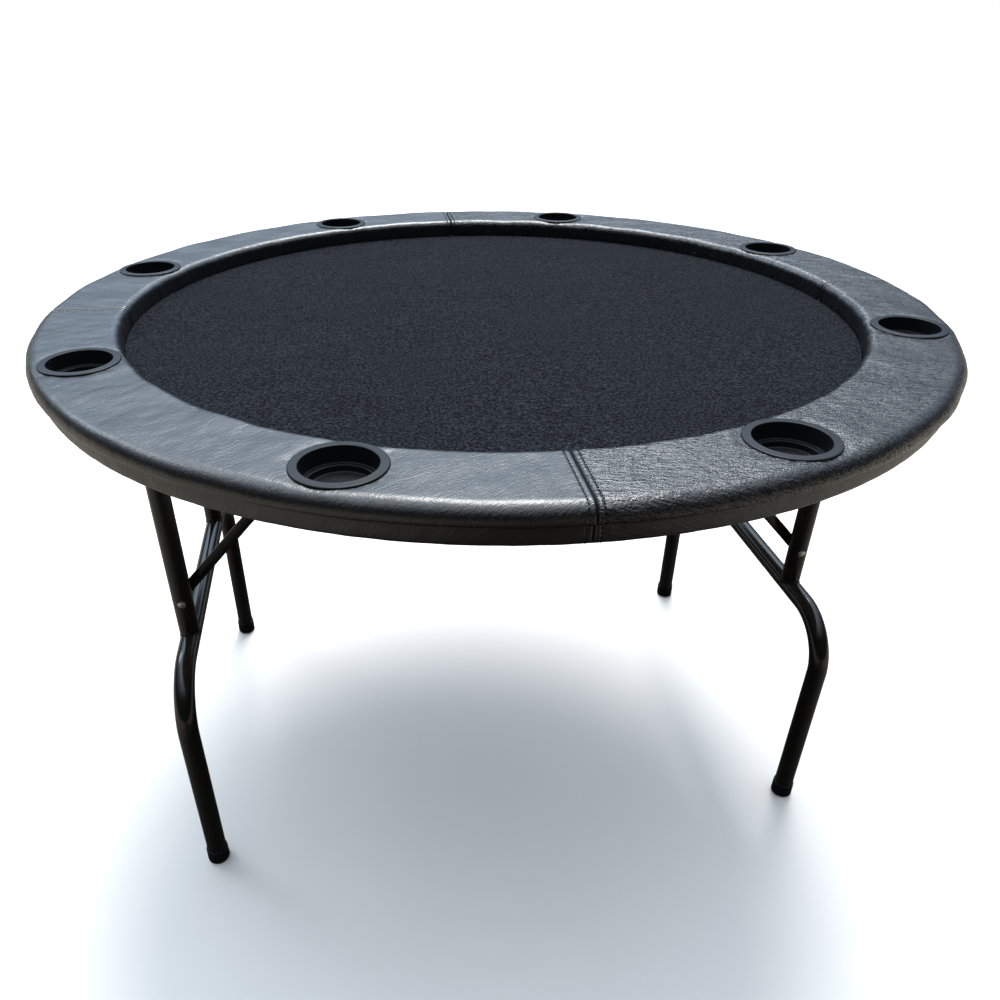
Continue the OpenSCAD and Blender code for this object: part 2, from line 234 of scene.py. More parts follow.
class Net:
    """Builds a shader or geometry tree, one node a call."""

    def __init__(self, tree):
        self.tree = tree

    def node(self, kind, options=None, sockets=None):
        made = self.tree.nodes.new(kind)
        for name, value in (options or {}).items():
            setattr(made, name, value)
        for key, value in (sockets or {}).items():
            if isinstance(value, Value):
                self.tree.links.new(value.socket, made.inputs[key])
            else:
                made.inputs[key].default_value = value
        return Value(self, next((s for s in made.outputs if s.enabled), None))

    def place(self):
        """The point's own place on the piece, in metres."""
        return self.node("ShaderNodeTexCoord").out("Object")

    def axes(self, place):
        return self.node("ShaderNodeSeparateXYZ", {}, {"Vector": place})

    def seen(self, unseen, seen):
        """One colour for what the camera sees and another for what lights and gloss take."""
        return self.mix(self.node("ShaderNodeLightPath").out("Is Camera Ray"), unseen, seen)

    def stretched(self, place, scale, turn=(0, 0, 0)):
        return self.node("ShaderNodeMapping", {}, {"Vector": place, "Scale": scale, "Rotation": turn})

    def noise(self, place, scale, detail=2.0, roughness=0.5, distortion=0.0):
        return self.node("ShaderNodeTexNoise", {"noise_dimensions": "3D"}, {
            "Vector": place, "Scale": scale, "Detail": detail, "Roughness": roughness,
            "Distortion": distortion})

    def cells(self, place, scale):
        """Scattered cells: Distance is from a cell's middle, and Color is the cell's own."""
        return self.node("ShaderNodeTexVoronoi", {"feature": "F1"}, {"Vector": place, "Scale": scale})

    def mix(self, factor, first, second):
        """A colour between two others. A Mix node's inputs 6 and 7 are its colours."""
        wide = [c if isinstance(c, Value) else (*c, 1.0) for c in (first, second)]
        return self.node("ShaderNodeMix", {"data_type": "RGBA"}, {0: factor, 6: wide[0], 7: wide[1]})

    def shifted(self, place, amount, scale):
        """The place, pushed about by a slow noise."""
        wander = self.node("ShaderNodeVectorMath", {"operation": "SUBTRACT"},
                           {0: self.noise(place, scale).out("Color"), 1: (0.5, 0.5, 0.5)})
        push = self.node("ShaderNodeVectorMath", {"operation": "SCALE"}, {0: wander, "Scale": amount})
        return self.node("ShaderNodeVectorMath", {"operation": "ADD"}, {0: place, 1: push})

    def bump(self, height, distance, strength=1.0):
        return self.node("ShaderNodeBump", {}, {"Height": height, "Distance": distance, "Strength": strength})

    def whole(self, geometry):
        """Instances made real."""
        return self.node("GeometryNodeRealizeInstances", {}, {"Geometry": geometry})


def finish(name, build):
    """A material whose surface is one Principled shader. build returns what its sockets take.
    Dull, where it is given, is how much painted shade shows instead: a near-black, rough, weakly glossy
    shader."""
    material = bpy.data.materials.new(name)
    material.use_nodes = True
    tree = material.node_tree
    shader = next(n for n in tree.nodes if n.type == "BSDF_PRINCIPLED")
    for key, value in build(Net(tree)).items():
        # painted shade: a near-black, rough shader mixed over the Principled one by the given amount
        if key == "Dull":
            net = value.net
            painted_shade_bsdf = net.node("ShaderNodeBsdfPrincipled", {}, {
                "Base Color": (0.003, 0.003, 0.0035, 1.0), "Roughness": 0.8, "Specular IOR Level": 0.12})
            both = net.node("ShaderNodeMixShader", {}, {0: value, 1: Value(net, shader.outputs[0]), 2: painted_shade_bsdf})
            surface = next(n for n in tree.nodes if n.type == "OUTPUT_MATERIAL").inputs["Surface"]
            tree.links.new(both.socket, surface)
        elif isinstance(value, Value):
            tree.links.new(value.socket, shader.inputs[key])
        else:
            shader.inputs[key].default_value = (*value, 1.0) if isinstance(value, tuple) else value
    return material


# ---------------------------------------------------------------- finishes

def vinyl_surface(net):
    """Crushed leatherette: long creases that lie one way, fine grain between them, and a few worn folds.
    The piece's attribute crush says how deep they are, and the deepest hollows take painted shade: a
    near-black shader mixed in where crush is above 0.75."""
    s = settings("rail")
    place = net.node("ShaderNodeUVMap", {"uv_map": "metres"})
    bent = net.shifted(place, 0.005, 60)
    streaks = net.noise(net.stretched(bent, (70, 300, 1)), 1.0, 2.0, 0.5)
    crushed = net.noise(net.stretched(bent, (170, 640, 1), (0, 0, 0.16)), 1.0, 2.0, 0.55)
    grain = net.noise(place, 470, 2.0, 0.6)
    wander = net.noise(net.stretched(bent, (14, 62, 1), (0, 0, -0.2)), 1.0, 3.0, 0.5, 0.8)
    folds = abs(wander - 0.5).step(0.0, 0.03)
    patches = net.noise(place, 9, 3.0, 0.55)
    crush_and_shade = net.node("ShaderNodeAttribute", {"attribute_name": "crush_and_shade"}).out("Fac")
    long_streaks = net.noise(net.stretched(bent, (36, 165, 1), (0, 0, -0.1)), 1.0, 2.0, 0.5)
    height = (streaks * 0.42 + crushed * 0.40 + grain * 0.34) * crush_and_shade + folds * 0.09
    height = height + long_streaks * (crush_and_shade - 0.7) * 0.75
    raised = (streaks * 0.4 + crushed * 0.3 + grain * 0.3).step(0.40, 0.60)
    # painted shade: the deepest hollows of the creases, on panels crushed above 0.75, are darkened as if in
    # shadow
    hollows = (0.5 - (streaks * 0.25 + crushed * 0.75)).step(0.02, 0.11) * (crush_and_shade - 0.75) * 0.85
    return {
        "Base Color": net.mix(raised, s.vinyl_dark, s.vinyl_light),
        "Roughness": 0.40 - raised * 0.05 + patches * 0.06 - crush_and_shade * 0.10,
        "Specular IOR Level": 0.7,
        "Coat Weight": 0.15,
        "Coat Roughness": 0.22,
        "Normal": net.bump(height, 0.0011, 1.0),
        "Dull": hollows,
    }


def thread_surface(net):
    s = settings("rail")
    place = net.place()
    ply = net.noise(place, 2600, 2.0)
    return {"Base Color": net.mix(ply, s.thread_colour, (0.005, 0.005, 0.006)),
            "Roughness": 0.8, "Specular IOR Level": 0.12, "Normal": net.bump(ply, 0.0002, 0.6)}


def felt_surface(net):
    """Short-napped felt with darker and lighter fibres, slow streaks of nap and specks of lint."""
    s = settings("felt")
    place = net.place()
    nap = net.noise(place, 300, 2.0, 0.75)
    fuzz = net.noise(place, 640, 2.0, 0.7)
    streaks = net.noise(net.stretched(place, (5, 75, 1), (0, 0, 0.06)), 1.0, 4.0, 0.6)
    clouds = net.noise(place, 4.5, 3.0, 0.6)
    fibres = (nap * 0.6 + fuzz * 0.4).step(0.42, 0.62)
    tone = fibres * (0.50 + streaks * 0.45 + clouds * 0.35)
    specks = net.cells(place, 42)
    lint_here = (specks.out("Color") > 0.90) * (specks.out("Distance") < 0.022)
    fabric = net.mix(tone, s.dark, s.light)
    return {
        "Base Color": net.mix(lint_here, fabric, s.lint),
        "Roughness": 0.97,
        "Specular IOR Level": 0.05,
        "Sheen Weight": 0.025,
        "Sheen Roughness": 0.4,
        "Normal": net.bump(fibres + streaks * 0.5, 0.0012, 0.9),
    }


def moulded_surface(dark, light, roughness, grain):
    """Spark-textured moulded plastic."""
    def build(net):
        place = net.place()
        texture = net.noise(place, grain, 3.0, 0.6)
        patches = net.noise(place, 30, 2.0)
        return {"Base Color": net.mix(patches, dark, light),
                "Roughness": roughness - 0.05 + patches * 0.1,
                "Specular IOR Level": 0.16,
                "Normal": net.bump(texture, 0.00008, 0.5)}
    return build


def enamel_surface(net):
    """Stoved gloss enamel with a little orange peel and dust nibs."""
    s = settings("legs")
    place = net.place()
    peel = net.noise(place, 260, 2.0, 0.5)
    nibs = (net.cells(place, 130).out("Distance") < 0.05) * 0.5
    haze = net.noise(place, 12, 3.0)
    return {
        "Base Color": net.mix(haze, s.enamel, (0.018, 0.0165, 0.014)),
        "Roughness": 0.12 + haze * 0.08,
        "Specular IOR Level": 0.4,
        "Coat Weight": 0.12,
        "Coat Roughness": 0.08,
        "Normal": net.bump(peel + nibs, 0.00012, 0.35),
    }


def zinc_surface(net):
    s = settings("legs")
    place = net.place()
    spangle = net.noise(place, 420, 3.0, 0.65)
    wear = net.noise(place, 60, 2.0)
    return {
        "Base Color": net.mix(wear, s.zinc, (0.50, 0.49, 0.46)),
        "Metallic": 1.0,
        "Roughness": 0.22 + spangle * 0.16,
        "Normal": net.bump(spangle, 0.0001, 0.4),
    }


def plywood_surface(net):
    """Rotary-cut veneer: long wandering grain, paler between its lines."""
    place = net.place()
    bent = net.shifted(place, 0.05, 5)
    rings = net.noise(net.stretched(bent, (2.0, 34, 6)), 1.0, 5.0, 0.6, 0.8)
    pores = net.noise(net.stretched(place, (25, 700, 60)), 1.0, 2.0, 0.6)
    tone = rings.step(0.35, 0.68)
    return {
        "Base Color": net.mix(tone * 0.8 + (pores > 0.62) * 0.2, (0.56, 0.40, 0.24), (0.33, 0.205, 0.105)),
        "Roughness": 0.62 + pores * 0.15,
        "Normal": net.bump(pores + rings, 0.00025, 0.5),
    }


def board_surface(net):
    place = net.place()
    chips = net.noise(place, 420, 4.0, 0.7)
    return {"Base Color": net.mix(chips, (0.30, 0.20, 0.115), (0.45, 0.32, 0.20)), "Roughness": 0.85,
            "Normal": net.bump(chips, 0.0004, 0.5)}


def foam_surface(net):
    place = net.place()
    pores = net.cells(place, 900).out("Distance")
    return {"Base Color": net.mix(pores, (0.16, 0.16, 0.17), (0.30, 0.30, 0.31)), "Roughness": 0.95,
            "Normal": net.bump(pores, 0.0006, 0.8)}


def floor_surface(net):
    """Pale to the camera. What the table's gloss reflects is darker, and darkest in front: painted shade that
    only the reflections show.
    """
    s = settings("stage")
    axes = net.axes(net.place())
    # painted shade in reflections: dark in front of the table, lighter to the sides
    cast = net.mix(abs(axes.out("X")).step(0.2, 1.6), s.cast_near, s.cast_side)
    return {"Base Color": net.seen(cast, s.floor), "Roughness": 0.8, "Specular IOR Level": 0.1}


FINISHES = {}


def finish_of(name):
    """Each finish is made once, when a piece first asks for it."""
    if name not in FINISHES:
        legs, cups = settings("legs"), settings("cups")
        build = {
            "vinyl": vinyl_surface,
            "thread": thread_surface,
            "felt": felt_surface,
            "cup_plastic": moulded_surface(cups.plastic, (0.0125, 0.0130, 0.0150), 0.34, 1200),
            "cap_plastic": moulded_surface(legs.rubber, (0.02, 0.02, 0.021), 0.5, 900),
            "enamel": enamel_surface,
            "zinc": zinc_surface,
            "plywood": plywood_surface,
            "fibreboard": board_surface,
            "foam": foam_surface,
        }[name]
        FINISHES[name] = finish(name, build)
    return FINISHES[name]


# ---------------------------------------------------------------- mesh helpers

def add_object(name, mesh):
    made = bpy.data.objects.new(name, mesh)
    bpy.context.scene.collection.objects.link(made)
    return made


def settle(piece, finish_name, body, replaced=()):
    """Gives a finished piece its material and its body, and hides the CAD nodes that it stands for."""
    if piece.type == "MESH":
        piece.data.materials.clear()
        piece.data.materials.append(finish_of(finish_name))
    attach(piece, body)
    if replaced:
        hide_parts(*replaced)
    return piece


def mesh_of(name, points, faces, smooth=True):
    mesh = bpy.data.meshes.new(name)
    mesh.from_pydata([tuple(p) for p in points], [], faces)
    mesh.validate()
    if smooth:
        mesh.polygons.foreach_set("use_smooth", [True] * len(mesh.polygons))
    mesh.update()
    return mesh


def outwards(mesh):
    """Merges points that coincide and turns every face outwards."""
    bm = bmesh.new()
    bm.from_mesh(mesh)
    bmesh.ops.remove_doubles(bm, verts=bm.verts, dist=1e-6)
    bmesh.ops.recalc_face_normals(bm, faces=bm.faces)
    bm.to_mesh(mesh)
    bm.free()
    mesh.update()
    return mesh


def joined(name, parts):
    """One mesh from several lists of points and faces."""
    points, faces = [], []
    for some_points, some_faces in parts:
        start = len(points)
        points.extend(some_points)
        faces.extend([tuple(start + i for i in f) for f in some_faces])
    return outwards(mesh_of(name, points, faces))


def auto_smooth(mesh, angle=40):
    mesh.set_sharp_from_angle(angle=math.radians(angle))
    return mesh


def made_of(name, parts, finish_name, body, replaced=(), angle=40):
    """A finished piece from lists of points and faces, with an edge wherever its faces turn by the angle."""
    return settle(add_object(name, auto_smooth(joined(name, parts), angle)), finish_name, body, replaced)


def bands(rings, segments, closed=False):
    """Faces between one ring of points and the next, where the rings' points follow each other."""
    faces = []
    for i in range(rings if closed else rings - 1):
        here, there = i * segments, (i + 1) % rings * segments
        faces.extend((here + k, here + n, there + n, there + k)
                     for k, n in zip(range(segments), (*range(1, segments), 0)))
    return faces


def capped(points, segments):
    """The points of a row of rings, with the faces between them and a face on each end."""
    ends = (tuple(range(segments)), tuple(range(len(points) - segments, len(points))))
    return points, [*bands(len(points) // segments, segments), *ends]


def arc(cx, cy, r, a, b, n):
    """Points of an arc, in the plane of a profile, with angles in degrees."""
    return [(cx + r * math.cos(math.radians(a + (b - a) * i / n)),
             cy + r * math.sin(math.radians(a + (b - a) * i / n))) for i in range(n + 1)]


def line(a, b, n):
    """n points from a towards b, without b."""
    return [(a[0] + (b[0] - a[0]) * i / n, a[1] + (b[1] - a[1]) * i / n) for i in range(n)]


def lathe(profile, segments, centre=(0, 0, 0), turn=None):
    """Points and faces of a profile of (r, z) turned about z. A profile end on the axis closes to a point."""
    turn = turn or Matrix.Identity(3)
    points, rings = [], []
    for r, z in profile:
        if r < 1e-7:
            rings.append([len(points)])
            points.append(Vector((0, 0, z)))
        else:
            rings.append(list(range(len(points), len(points) + segments)))
            points.extend(Vector((r * math.cos(2 * math.pi * k / segments),
                                  r * math.sin(2 * math.pi * k / segments), z)) for k in range(segments))
    faces = []
    for a, b in zip(rings, rings[1:]):
        for k in range(segments):
            n = (k + 1) % segments
            if len(a) == 1 and len(b) > 1:
                faces.append((a[0], b[n], b[k]))
            elif len(b) == 1 and len(a) > 1:
                faces.append((a[k], a[n], b[0]))
            elif len(a) > 1:
                faces.append((a[k], a[n], b[n], b[k]))
    return [turn @ p + Vector(centre) for p in points], faces


def sweep(path, radius, segments, closed=False):
    """Points and faces of a round bar along a path. radius is a number, or a list with one for each point."""
    count = len(path)
    ahead = [(path[(i + 1) % count] - path[i - 1]) if closed or 0 < i < count - 1
             else (path[1] - path[0] if i == 0 else path[-1] - path[-2]) for i in range(count)]
    ahead = [a.normalized() for a in ahead]
    side = ahead[0].orthogonal().normalized()
    points = []
    for i, place in enumerate(path):
        side = (side - ahead[i] * side.dot(ahead[i])).normalized()
        other = ahead[i].cross(side)
        r = radius[i] if isinstance(radius, list) else radius
        for k in range(segments):
            a = 2 * math.pi * k / segments
            points.append(place + side * (r * math.cos(a)) + other * (r * math.sin(a)))
    faces = bands(count, segments, closed)
    if not closed:
        faces.append(tuple(range(segments - 1, -1, -1)))
        faces.append(tuple(range((count - 1) * segments, count * segments)))
    return points, faces


def softened(name, node, width):
    """A merged copy of a CAD node's mesh with its sharp edges rounded."""
    mesh = frame["nodes"][node].data.copy()
    bm = bmesh.new()
    bm.from_mesh(mesh)
    bmesh.ops.remove_doubles(bm, verts=bm.verts, dist=2e-6)
    bmesh.ops.dissolve_limit(bm, angle_limit=math.radians(1.0), verts=bm.verts, edges=bm.edges)
    bm.to_mesh(mesh)
    bm.free()
    mesh.polygons.foreach_set("use_smooth", [True] * len(mesh.polygons))
    piece = add_object(name, mesh)
    bevel = piece.modifiers.new("edges", "BEVEL")
    bevel.width, bevel.segments, bevel.harden_normals = width, 2, False
    bevel.limit_method, bevel.angle_limit = "ANGLE", math.radians(40)
    return baked(piece)


def baked(piece):
    """Turns a piece's modifiers into its mesh."""
    shown = piece.evaluated_get(bpy.context.evaluated_depsgraph_get())
    mesh = bpy.data.meshes.new_from_object(shown)
    piece.modifiers.clear()
    piece.data = mesh
    return piece


# ---------------------------------------------------------------- geometry node trees

def geometry_tree(name, sizes, build):
    """A geometry tree with named inputs. build(net, given) returns the geometry, and the tree ends in real
    meshes with the finish on them."""
    tree = bpy.data.node_groups.new(name, "GeometryNodeTree")
    tree.interface.new_socket("Geometry", in_out="INPUT", socket_type="NodeSocketGeometry")
    tree.interface.new_socket("Geometry", in_out="OUTPUT", socket_type="NodeSocketGeometry")
    for label, (kind, value) in {**sizes, "Finish": ("Material", None)}.items():
        made = tree.interface.new_socket(label, in_out="INPUT", socket_type="NodeSocket" + kind)
        if value is not None:
            made.default_value = value
    net = Net(tree)
    given = net.node("NodeGroupInput")
    shapes = net.whole(build(net, given.out))
    done = net.node("GeometryNodeSetMaterial", {}, {"Geometry": shapes, "Material": given.out("Finish")})
    net.node("NodeGroupOutput", {}, {"Geometry": done})
    return tree


def grown(piece, tree, finish_name, values=None):
    """Runs a tree on a piece and keeps the plain mesh."""
    modifier = piece.modifiers.new(tree.name, "NODES")
    modifier.node_group = tree
    by_name = {s.name: s.identifier for s in tree.interface.items_tree if s.in_out == "INPUT"}
    modifier[by_name["Finish"]] = finish_of(finish_name)
    for label, value in (values or {}).items():
        modifier[by_name[label]] = value
    piece.update_tag()
    return baked(piece)


def on_points_tree():
    """Sets one copy of a shape on each point, turned so that its Z follows the point's normal."""
    def build(net, given):
        shape = net.node("GeometryNodeObjectInfo", {"transform_space": "ORIGINAL"},
                         {"Object": given("Shape")})
        facing, along, size = (
            net.node("GeometryNodeInputNamedAttribute", {"data_type": kind}, {"Name": label})
            for kind, label in (("FLOAT_VECTOR", "facing"), ("FLOAT_VECTOR", "along"), ("FLOAT", "size")))
        turn = net.node("FunctionNodeAxesToRotation", {"primary_axis": "Z", "secondary_axis": "X"},
                        {0: facing, 1: along})
        return net.node("GeometryNodeInstanceOnPoints", {}, {
            "Points": given("Geometry"), "Instance": shape.out("Geometry"), "Rotation": turn, "Scale": size})
    return geometry_tree("set on points", {"Shape": ("Object", None)}, build)


def set_on_points(name, shape_mesh, places, finish_name, body, node, angle=None):
    """Sets a shape on each place, a (point, normal, along, size), and settles the lot as one plain mesh."""
    mesh = bpy.data.meshes.new(name)
    mesh.from_pydata([tuple(row[0]) for row in places], [], [])
    for label, column in (("facing", 1), ("along", 2)):
        attribute = mesh.attributes.new(label, "FLOAT_VECTOR", "POINT")
        attribute.data.foreach_set("vector", [c for row in places for c in row[column]])
    mesh.attributes.new("size", "FLOAT", "POINT").data.foreach_set("value", [row[3] for row in places])
    piece = add_object(name, mesh)
    shape = add_object(name + "_shape", shape_mesh)
    grown(piece, tree_of("set on points", on_points_tree), finish_name, {"Shape": shape})
    bpy.data.objects.remove(shape)
    if angle:
        auto_smooth(piece.data, angle)
    settle(piece, finish_name, body, [node])


def tube_tree():
    """A round tube along the piece's edges, with its corners bent to a radius."""
    def build(net, given):
        path = net.node("GeometryNodeMeshToCurve", {}, {"Mesh": given("Geometry")})
        bent = net.node("GeometryNodeFilletCurve", {"mode": "POLY"}, {
            "Curve": path, "Radius": given("Bend"), "Count": 28, "Limit Radius": True})
        section = net.node("GeometryNodeCurvePrimitiveCircle", {"mode": "RADIUS"},
                           {"Resolution": 56, "Radius": given("Tube radius")})
        skin = net.node("GeometryNodeCurveToMesh", {}, {"Curve": bent, "Profile Curve": section,
                                                        "Fill Caps": True})
        return net.node("GeometryNodeSetShadeSmooth", {}, {"Geometry": skin})
    return geometry_tree("bent tube", {"Bend": ("Float", 0.08), "Tube radius": ("Float", 0.0143)}, build)


def stitch_tree():
    """Thread stitches at an even pitch along the piece's edges."""
    def build(net, given):
        path = net.node("GeometryNodeMeshToCurve", {}, {"Mesh": given("Geometry")})
        even = net.node("GeometryNodeCurveToPoints", {"mode": "LENGTH"},
                        {"Curve": path, "Length": given("Pitch")})
        bead = net.node("GeometryNodeMeshUVSphere", {}, {"Segments": 8, "Rings": 6, "Radius": 0.5})
        size = net.node("ShaderNodeCombineXYZ", {}, {"X": given("Thread"), "Y": given("Thread"),
                                                     "Z": given("Stitch length")})
        placed = net.node("GeometryNodeInstanceOnPoints", {}, {
            "Points": even.out("Points"), "Instance": bead.out("Mesh"), "Rotation": even.out("Rotation"),
            "Scale": size})
        return net.node("GeometryNodeSetShadeSmooth", {}, {"Geometry": net.whole(placed)})
    return geometry_tree("stitches", {"Pitch": ("Float", 0.0046), "Stitch length": ("Float", 0.003),
                                      "Thread": ("Float", 0.0009)}, build)


TREES = {}


def tree_of(name, make):
    """Each tree is made once, when a piece first asks for it."""
    if name not in TREES:
        TREES[name] = make()
    return TREES[name]


# ---------------------------------------------------------------- the rail's skin

SEAMS = [RAIL_TURN + k * math.pi / 2 for k in range(4)]
SKIN_MID_R = 0.55                          # the radius at which lengths along the rail are taken
WALL_DEEP = 31.5 * MM                      # how far the inner wall goes down
CREASE_DROP = 19.4 * MM                    # how far below the top the crease under the roll lies
CUP_HOLE_R = 41.0 * MM
VINYL_THICK, FELT_THICK = 0.9 * MM, 0.95 * MM
DEEPEST, DEEPEST_TUCKED = -0.92 * MM, -0.30 * MM       # how far into the foam the skin may go
STITCHED_FROM, STITCHED_TO = 19 * MM, 2.5 * MM         # heights over the cover's foot where stitches end
BAND_CRUSH = 0.40                                      # how deeply the vinyl of the band is crushed
CUT_TURNS = (-0.30, 0.25, 0.62, -0.24)     # how each panel's vinyl lay on its roll
# each panel's crush also sets its painted shade: above 0.75 its hollows darken, so the back and front right
# panels look darker, as a shaded side would
CRUSH_AND_SHADE = (1.3, 0.7, 0.75, 1.6)              # how deeply each panel's vinyl is crushed


def ripples(seed, count, period, along, across=None):
    """A smooth seeded pattern, mostly between -1 and 1, over one or two lengths."""
    draw = np.random.default_rng(seed)
    total = 0
    for _ in range(count):
        turn, phase = draw.uniform(0, 2 * math.pi, 2)
        wave = 2 * math.pi / (period * draw.uniform(0.6, 1.6))
        way = along if across is None else along * math.cos(turn) + across * math.sin(turn)
        total = total + np.sin(way * wave + phase)
    return total / math.sqrt(count * 1.3)


def smooth_step(x, low, high):
    t = np.clip((x - low) / (high - low), 0, 1)
    return t * t * (3 - 2 * t)


def bell(x, middle_at, width):
    return np.exp(-((x - middle_at) / width) ** 2)


def rail_rows():
    """Rows of the rail's skin, from the foot of the inner wall over the top to the tuck under the board.
    Gives each row's place (r, z), its outward normal, and its length along the skin."""
    inner, outer, top, low = (v / MM for v in (COVER_INNER_R, COVER_OUTER_R, RAIL_TOP, COVER_LOW.z))
    inner_bend, shoulder, roll, band_bend = 10, 16, 3.5, 5.5
    start, side, band = inner + inner_bend, outer - shoulder, outer - 8.0
    foot, tuck = band - band_bend, band - 29.6
    path = line((inner, top - WALL_DEEP / MM), (inner, top - inner_bend), 13)
    path += arc(start, top - inner_bend, inner_bend, 180, 90, 10)[:-1]
    path += line((start, top), (side, top), 40) + arc(side, top - shoulder, shoulder, 90, 0, 16)
    path += arc(outer - roll, top - shoulder, roll, -15, -80, 5)
    path += [(band + 2.6, top - 19.7), (band + 1.0, top - 20.2), (band + 0.25, top - 21.3)]
    path += line((band, top - 23), (band, low + band_bend), 8)
    path += arc(foot, low + band_bend, band_bend, 0, -90, 7)
    path += line((foot, low), (tuck, low), 9)[1:] + [(tuck, low)]
    place = np.array(path) * MM
    step = np.gradient(place, axis=0)
    step /= np.linalg.norm(step, axis=1)[:, None]
    normal = np.stack([-step[:, 1], step[:, 0]], axis=1)
    run = np.concatenate([[0], np.cumsum(np.linalg.norm(np.diff(place, axis=0), axis=1))])
    return place, normal, run


def rail_skin(angles, rows):
    """Points of the padded skin on a grid of angles by rows."""
    place, normal, run = rows
    s = settings("rail")
    a = np.asarray(angles)[:, None]
    r, z = place[None, :, 0], place[None, :, 1]
    along, across = a * SKIN_MID_R, run[None, :]
    crease = run[np.argmax(z[0] < RAIL_TOP - CREASE_DROP)]
    on_top = smooth_step(z, RAIL_TOP - 3 * MM, RAIL_TOP - 0.5 * MM)
    on_wall = smooth_step(-across, -0.040, -0.022)
    tucked = smooth_step(-z, -(COVER_LOW.z + 12 * MM), -(COVER_LOW.z + 1 * MM))

    seam = np.min([abs((a - t + math.pi) % (2 * math.pi) - math.pi) for t in SEAMS], axis=0) * r
    away = 1 - bell(seam, 0, 12 * MM)

    # the foam's swell, with slow and short waves away from the seams
    lift = s.proud * (1 - tucked) + 0 * a
    lift = lift + away * (1 - tucked) * (0.42 * MM * ripples(3, 9, 0.085, along, across)
                                         + 0.13 * MM * ripples(4, 9, 0.024, along, across))
    # gathers down the inner wall, pinches above and below the crease under the roll, and the tuck
    gathers = np.maximum(ripples(5, 7, 0.021, along, across * 0.35), -0.4)
    lift = lift + away * on_wall * 0.42 * MM * gathers
    pinch = ripples(6, 7, 0.017, along + 0.4 * across, across * 0.3)
    lift = lift - away * bell(across, crease - 0.004, 0.007) * 0.45 * MM * np.maximum(pinch, -0.2)
    lift = lift + away * bell(across, crease + 0.006, 0.007) * 0.30 * MM * pinch
    lift = lift - tucked * 0.15 * MM * (1 + ripples(7, 7, 0.03, along, across * 0.2))

    # each seam's groove, the ridge beside it, the stitch row's furrow, and the pulls past the row
    seam_side = 1 - 0.75 * tucked
    lift = lift - seam_side * (s.groove * bell(seam, 0, 1.15 * MM) + 0.35 * MM * bell(seam, 0, 4.0 * MM))
    lift = lift + seam_side * 0.30 * MM * bell(seam, 3.6 * MM, 2.0 * MM)
    lift = lift - seam_side * 0.50 * MM * bell(seam, s.row_offset, 0.95 * MM)
    pulls = ripples(8, 5, 0.013, across, seam * 0.5)
    lift = lift + seam_side * 0.22 * MM * bell(seam, 10.5 * MM, 5.0 * MM) * pulls

    # the cups press the cover down, and it puckers round them
    x, y = r * np.cos(a), r * np.sin(a)
    for index, cup in enumerate(CUP_PLACES):
        dx, dy = x - cup.x, y - cup.y
        gap = np.hypot(dx, dy)
        turn = np.arctan2(dy, dx)
        puckers = ripples(20 + index, 7, 0.42, turn + 7) * bell(gap, 0.049, 0.0065)
        dip = smooth_step(-gap, -0.060, -0.046) ** 1.4
        lift = lift - on_top * (0.75 * MM * dip + 0.20 * MM * puckers)

    lift = np.maximum(lift, np.where(tucked > 0.5, DEEPEST_TUCKED, DEEPEST))
    r, z = r + lift * normal[None, :, 0], z + lift * normal[None, :, 1]
    return np.stack([r * np.cos(a), r * np.sin(a), z], axis=2)


def panel_angles(quarter):
    """Angles of a panel's columns: close together beside its two seams."""
    near = np.array([0, 0.4, 0.8, 1.2, 1.7, 2.3, 3.0, 3.8, 4.6, 5.4, 6.0, 6.4, 6.8, 7.2, 7.7, 8.4, 9.4, 10.6,
                     12.2])
    whole = SKIN_MID_R / MM * math.pi / 2
    between = np.linspace(14.2, whole - 14.2, 352)
    steps = np.concatenate([near, between, (whole - near)[::-1]])
    return SEAMS[quarter] + steps * MM / SKIN_MID_R


def shell_inwards(piece, thickness):
    wall = piece.modifiers.new("wall", "SOLIDIFY")
    wall.thickness, wall.offset, wall.use_even_offset = thickness, -1.0, False
    return baked(piece)


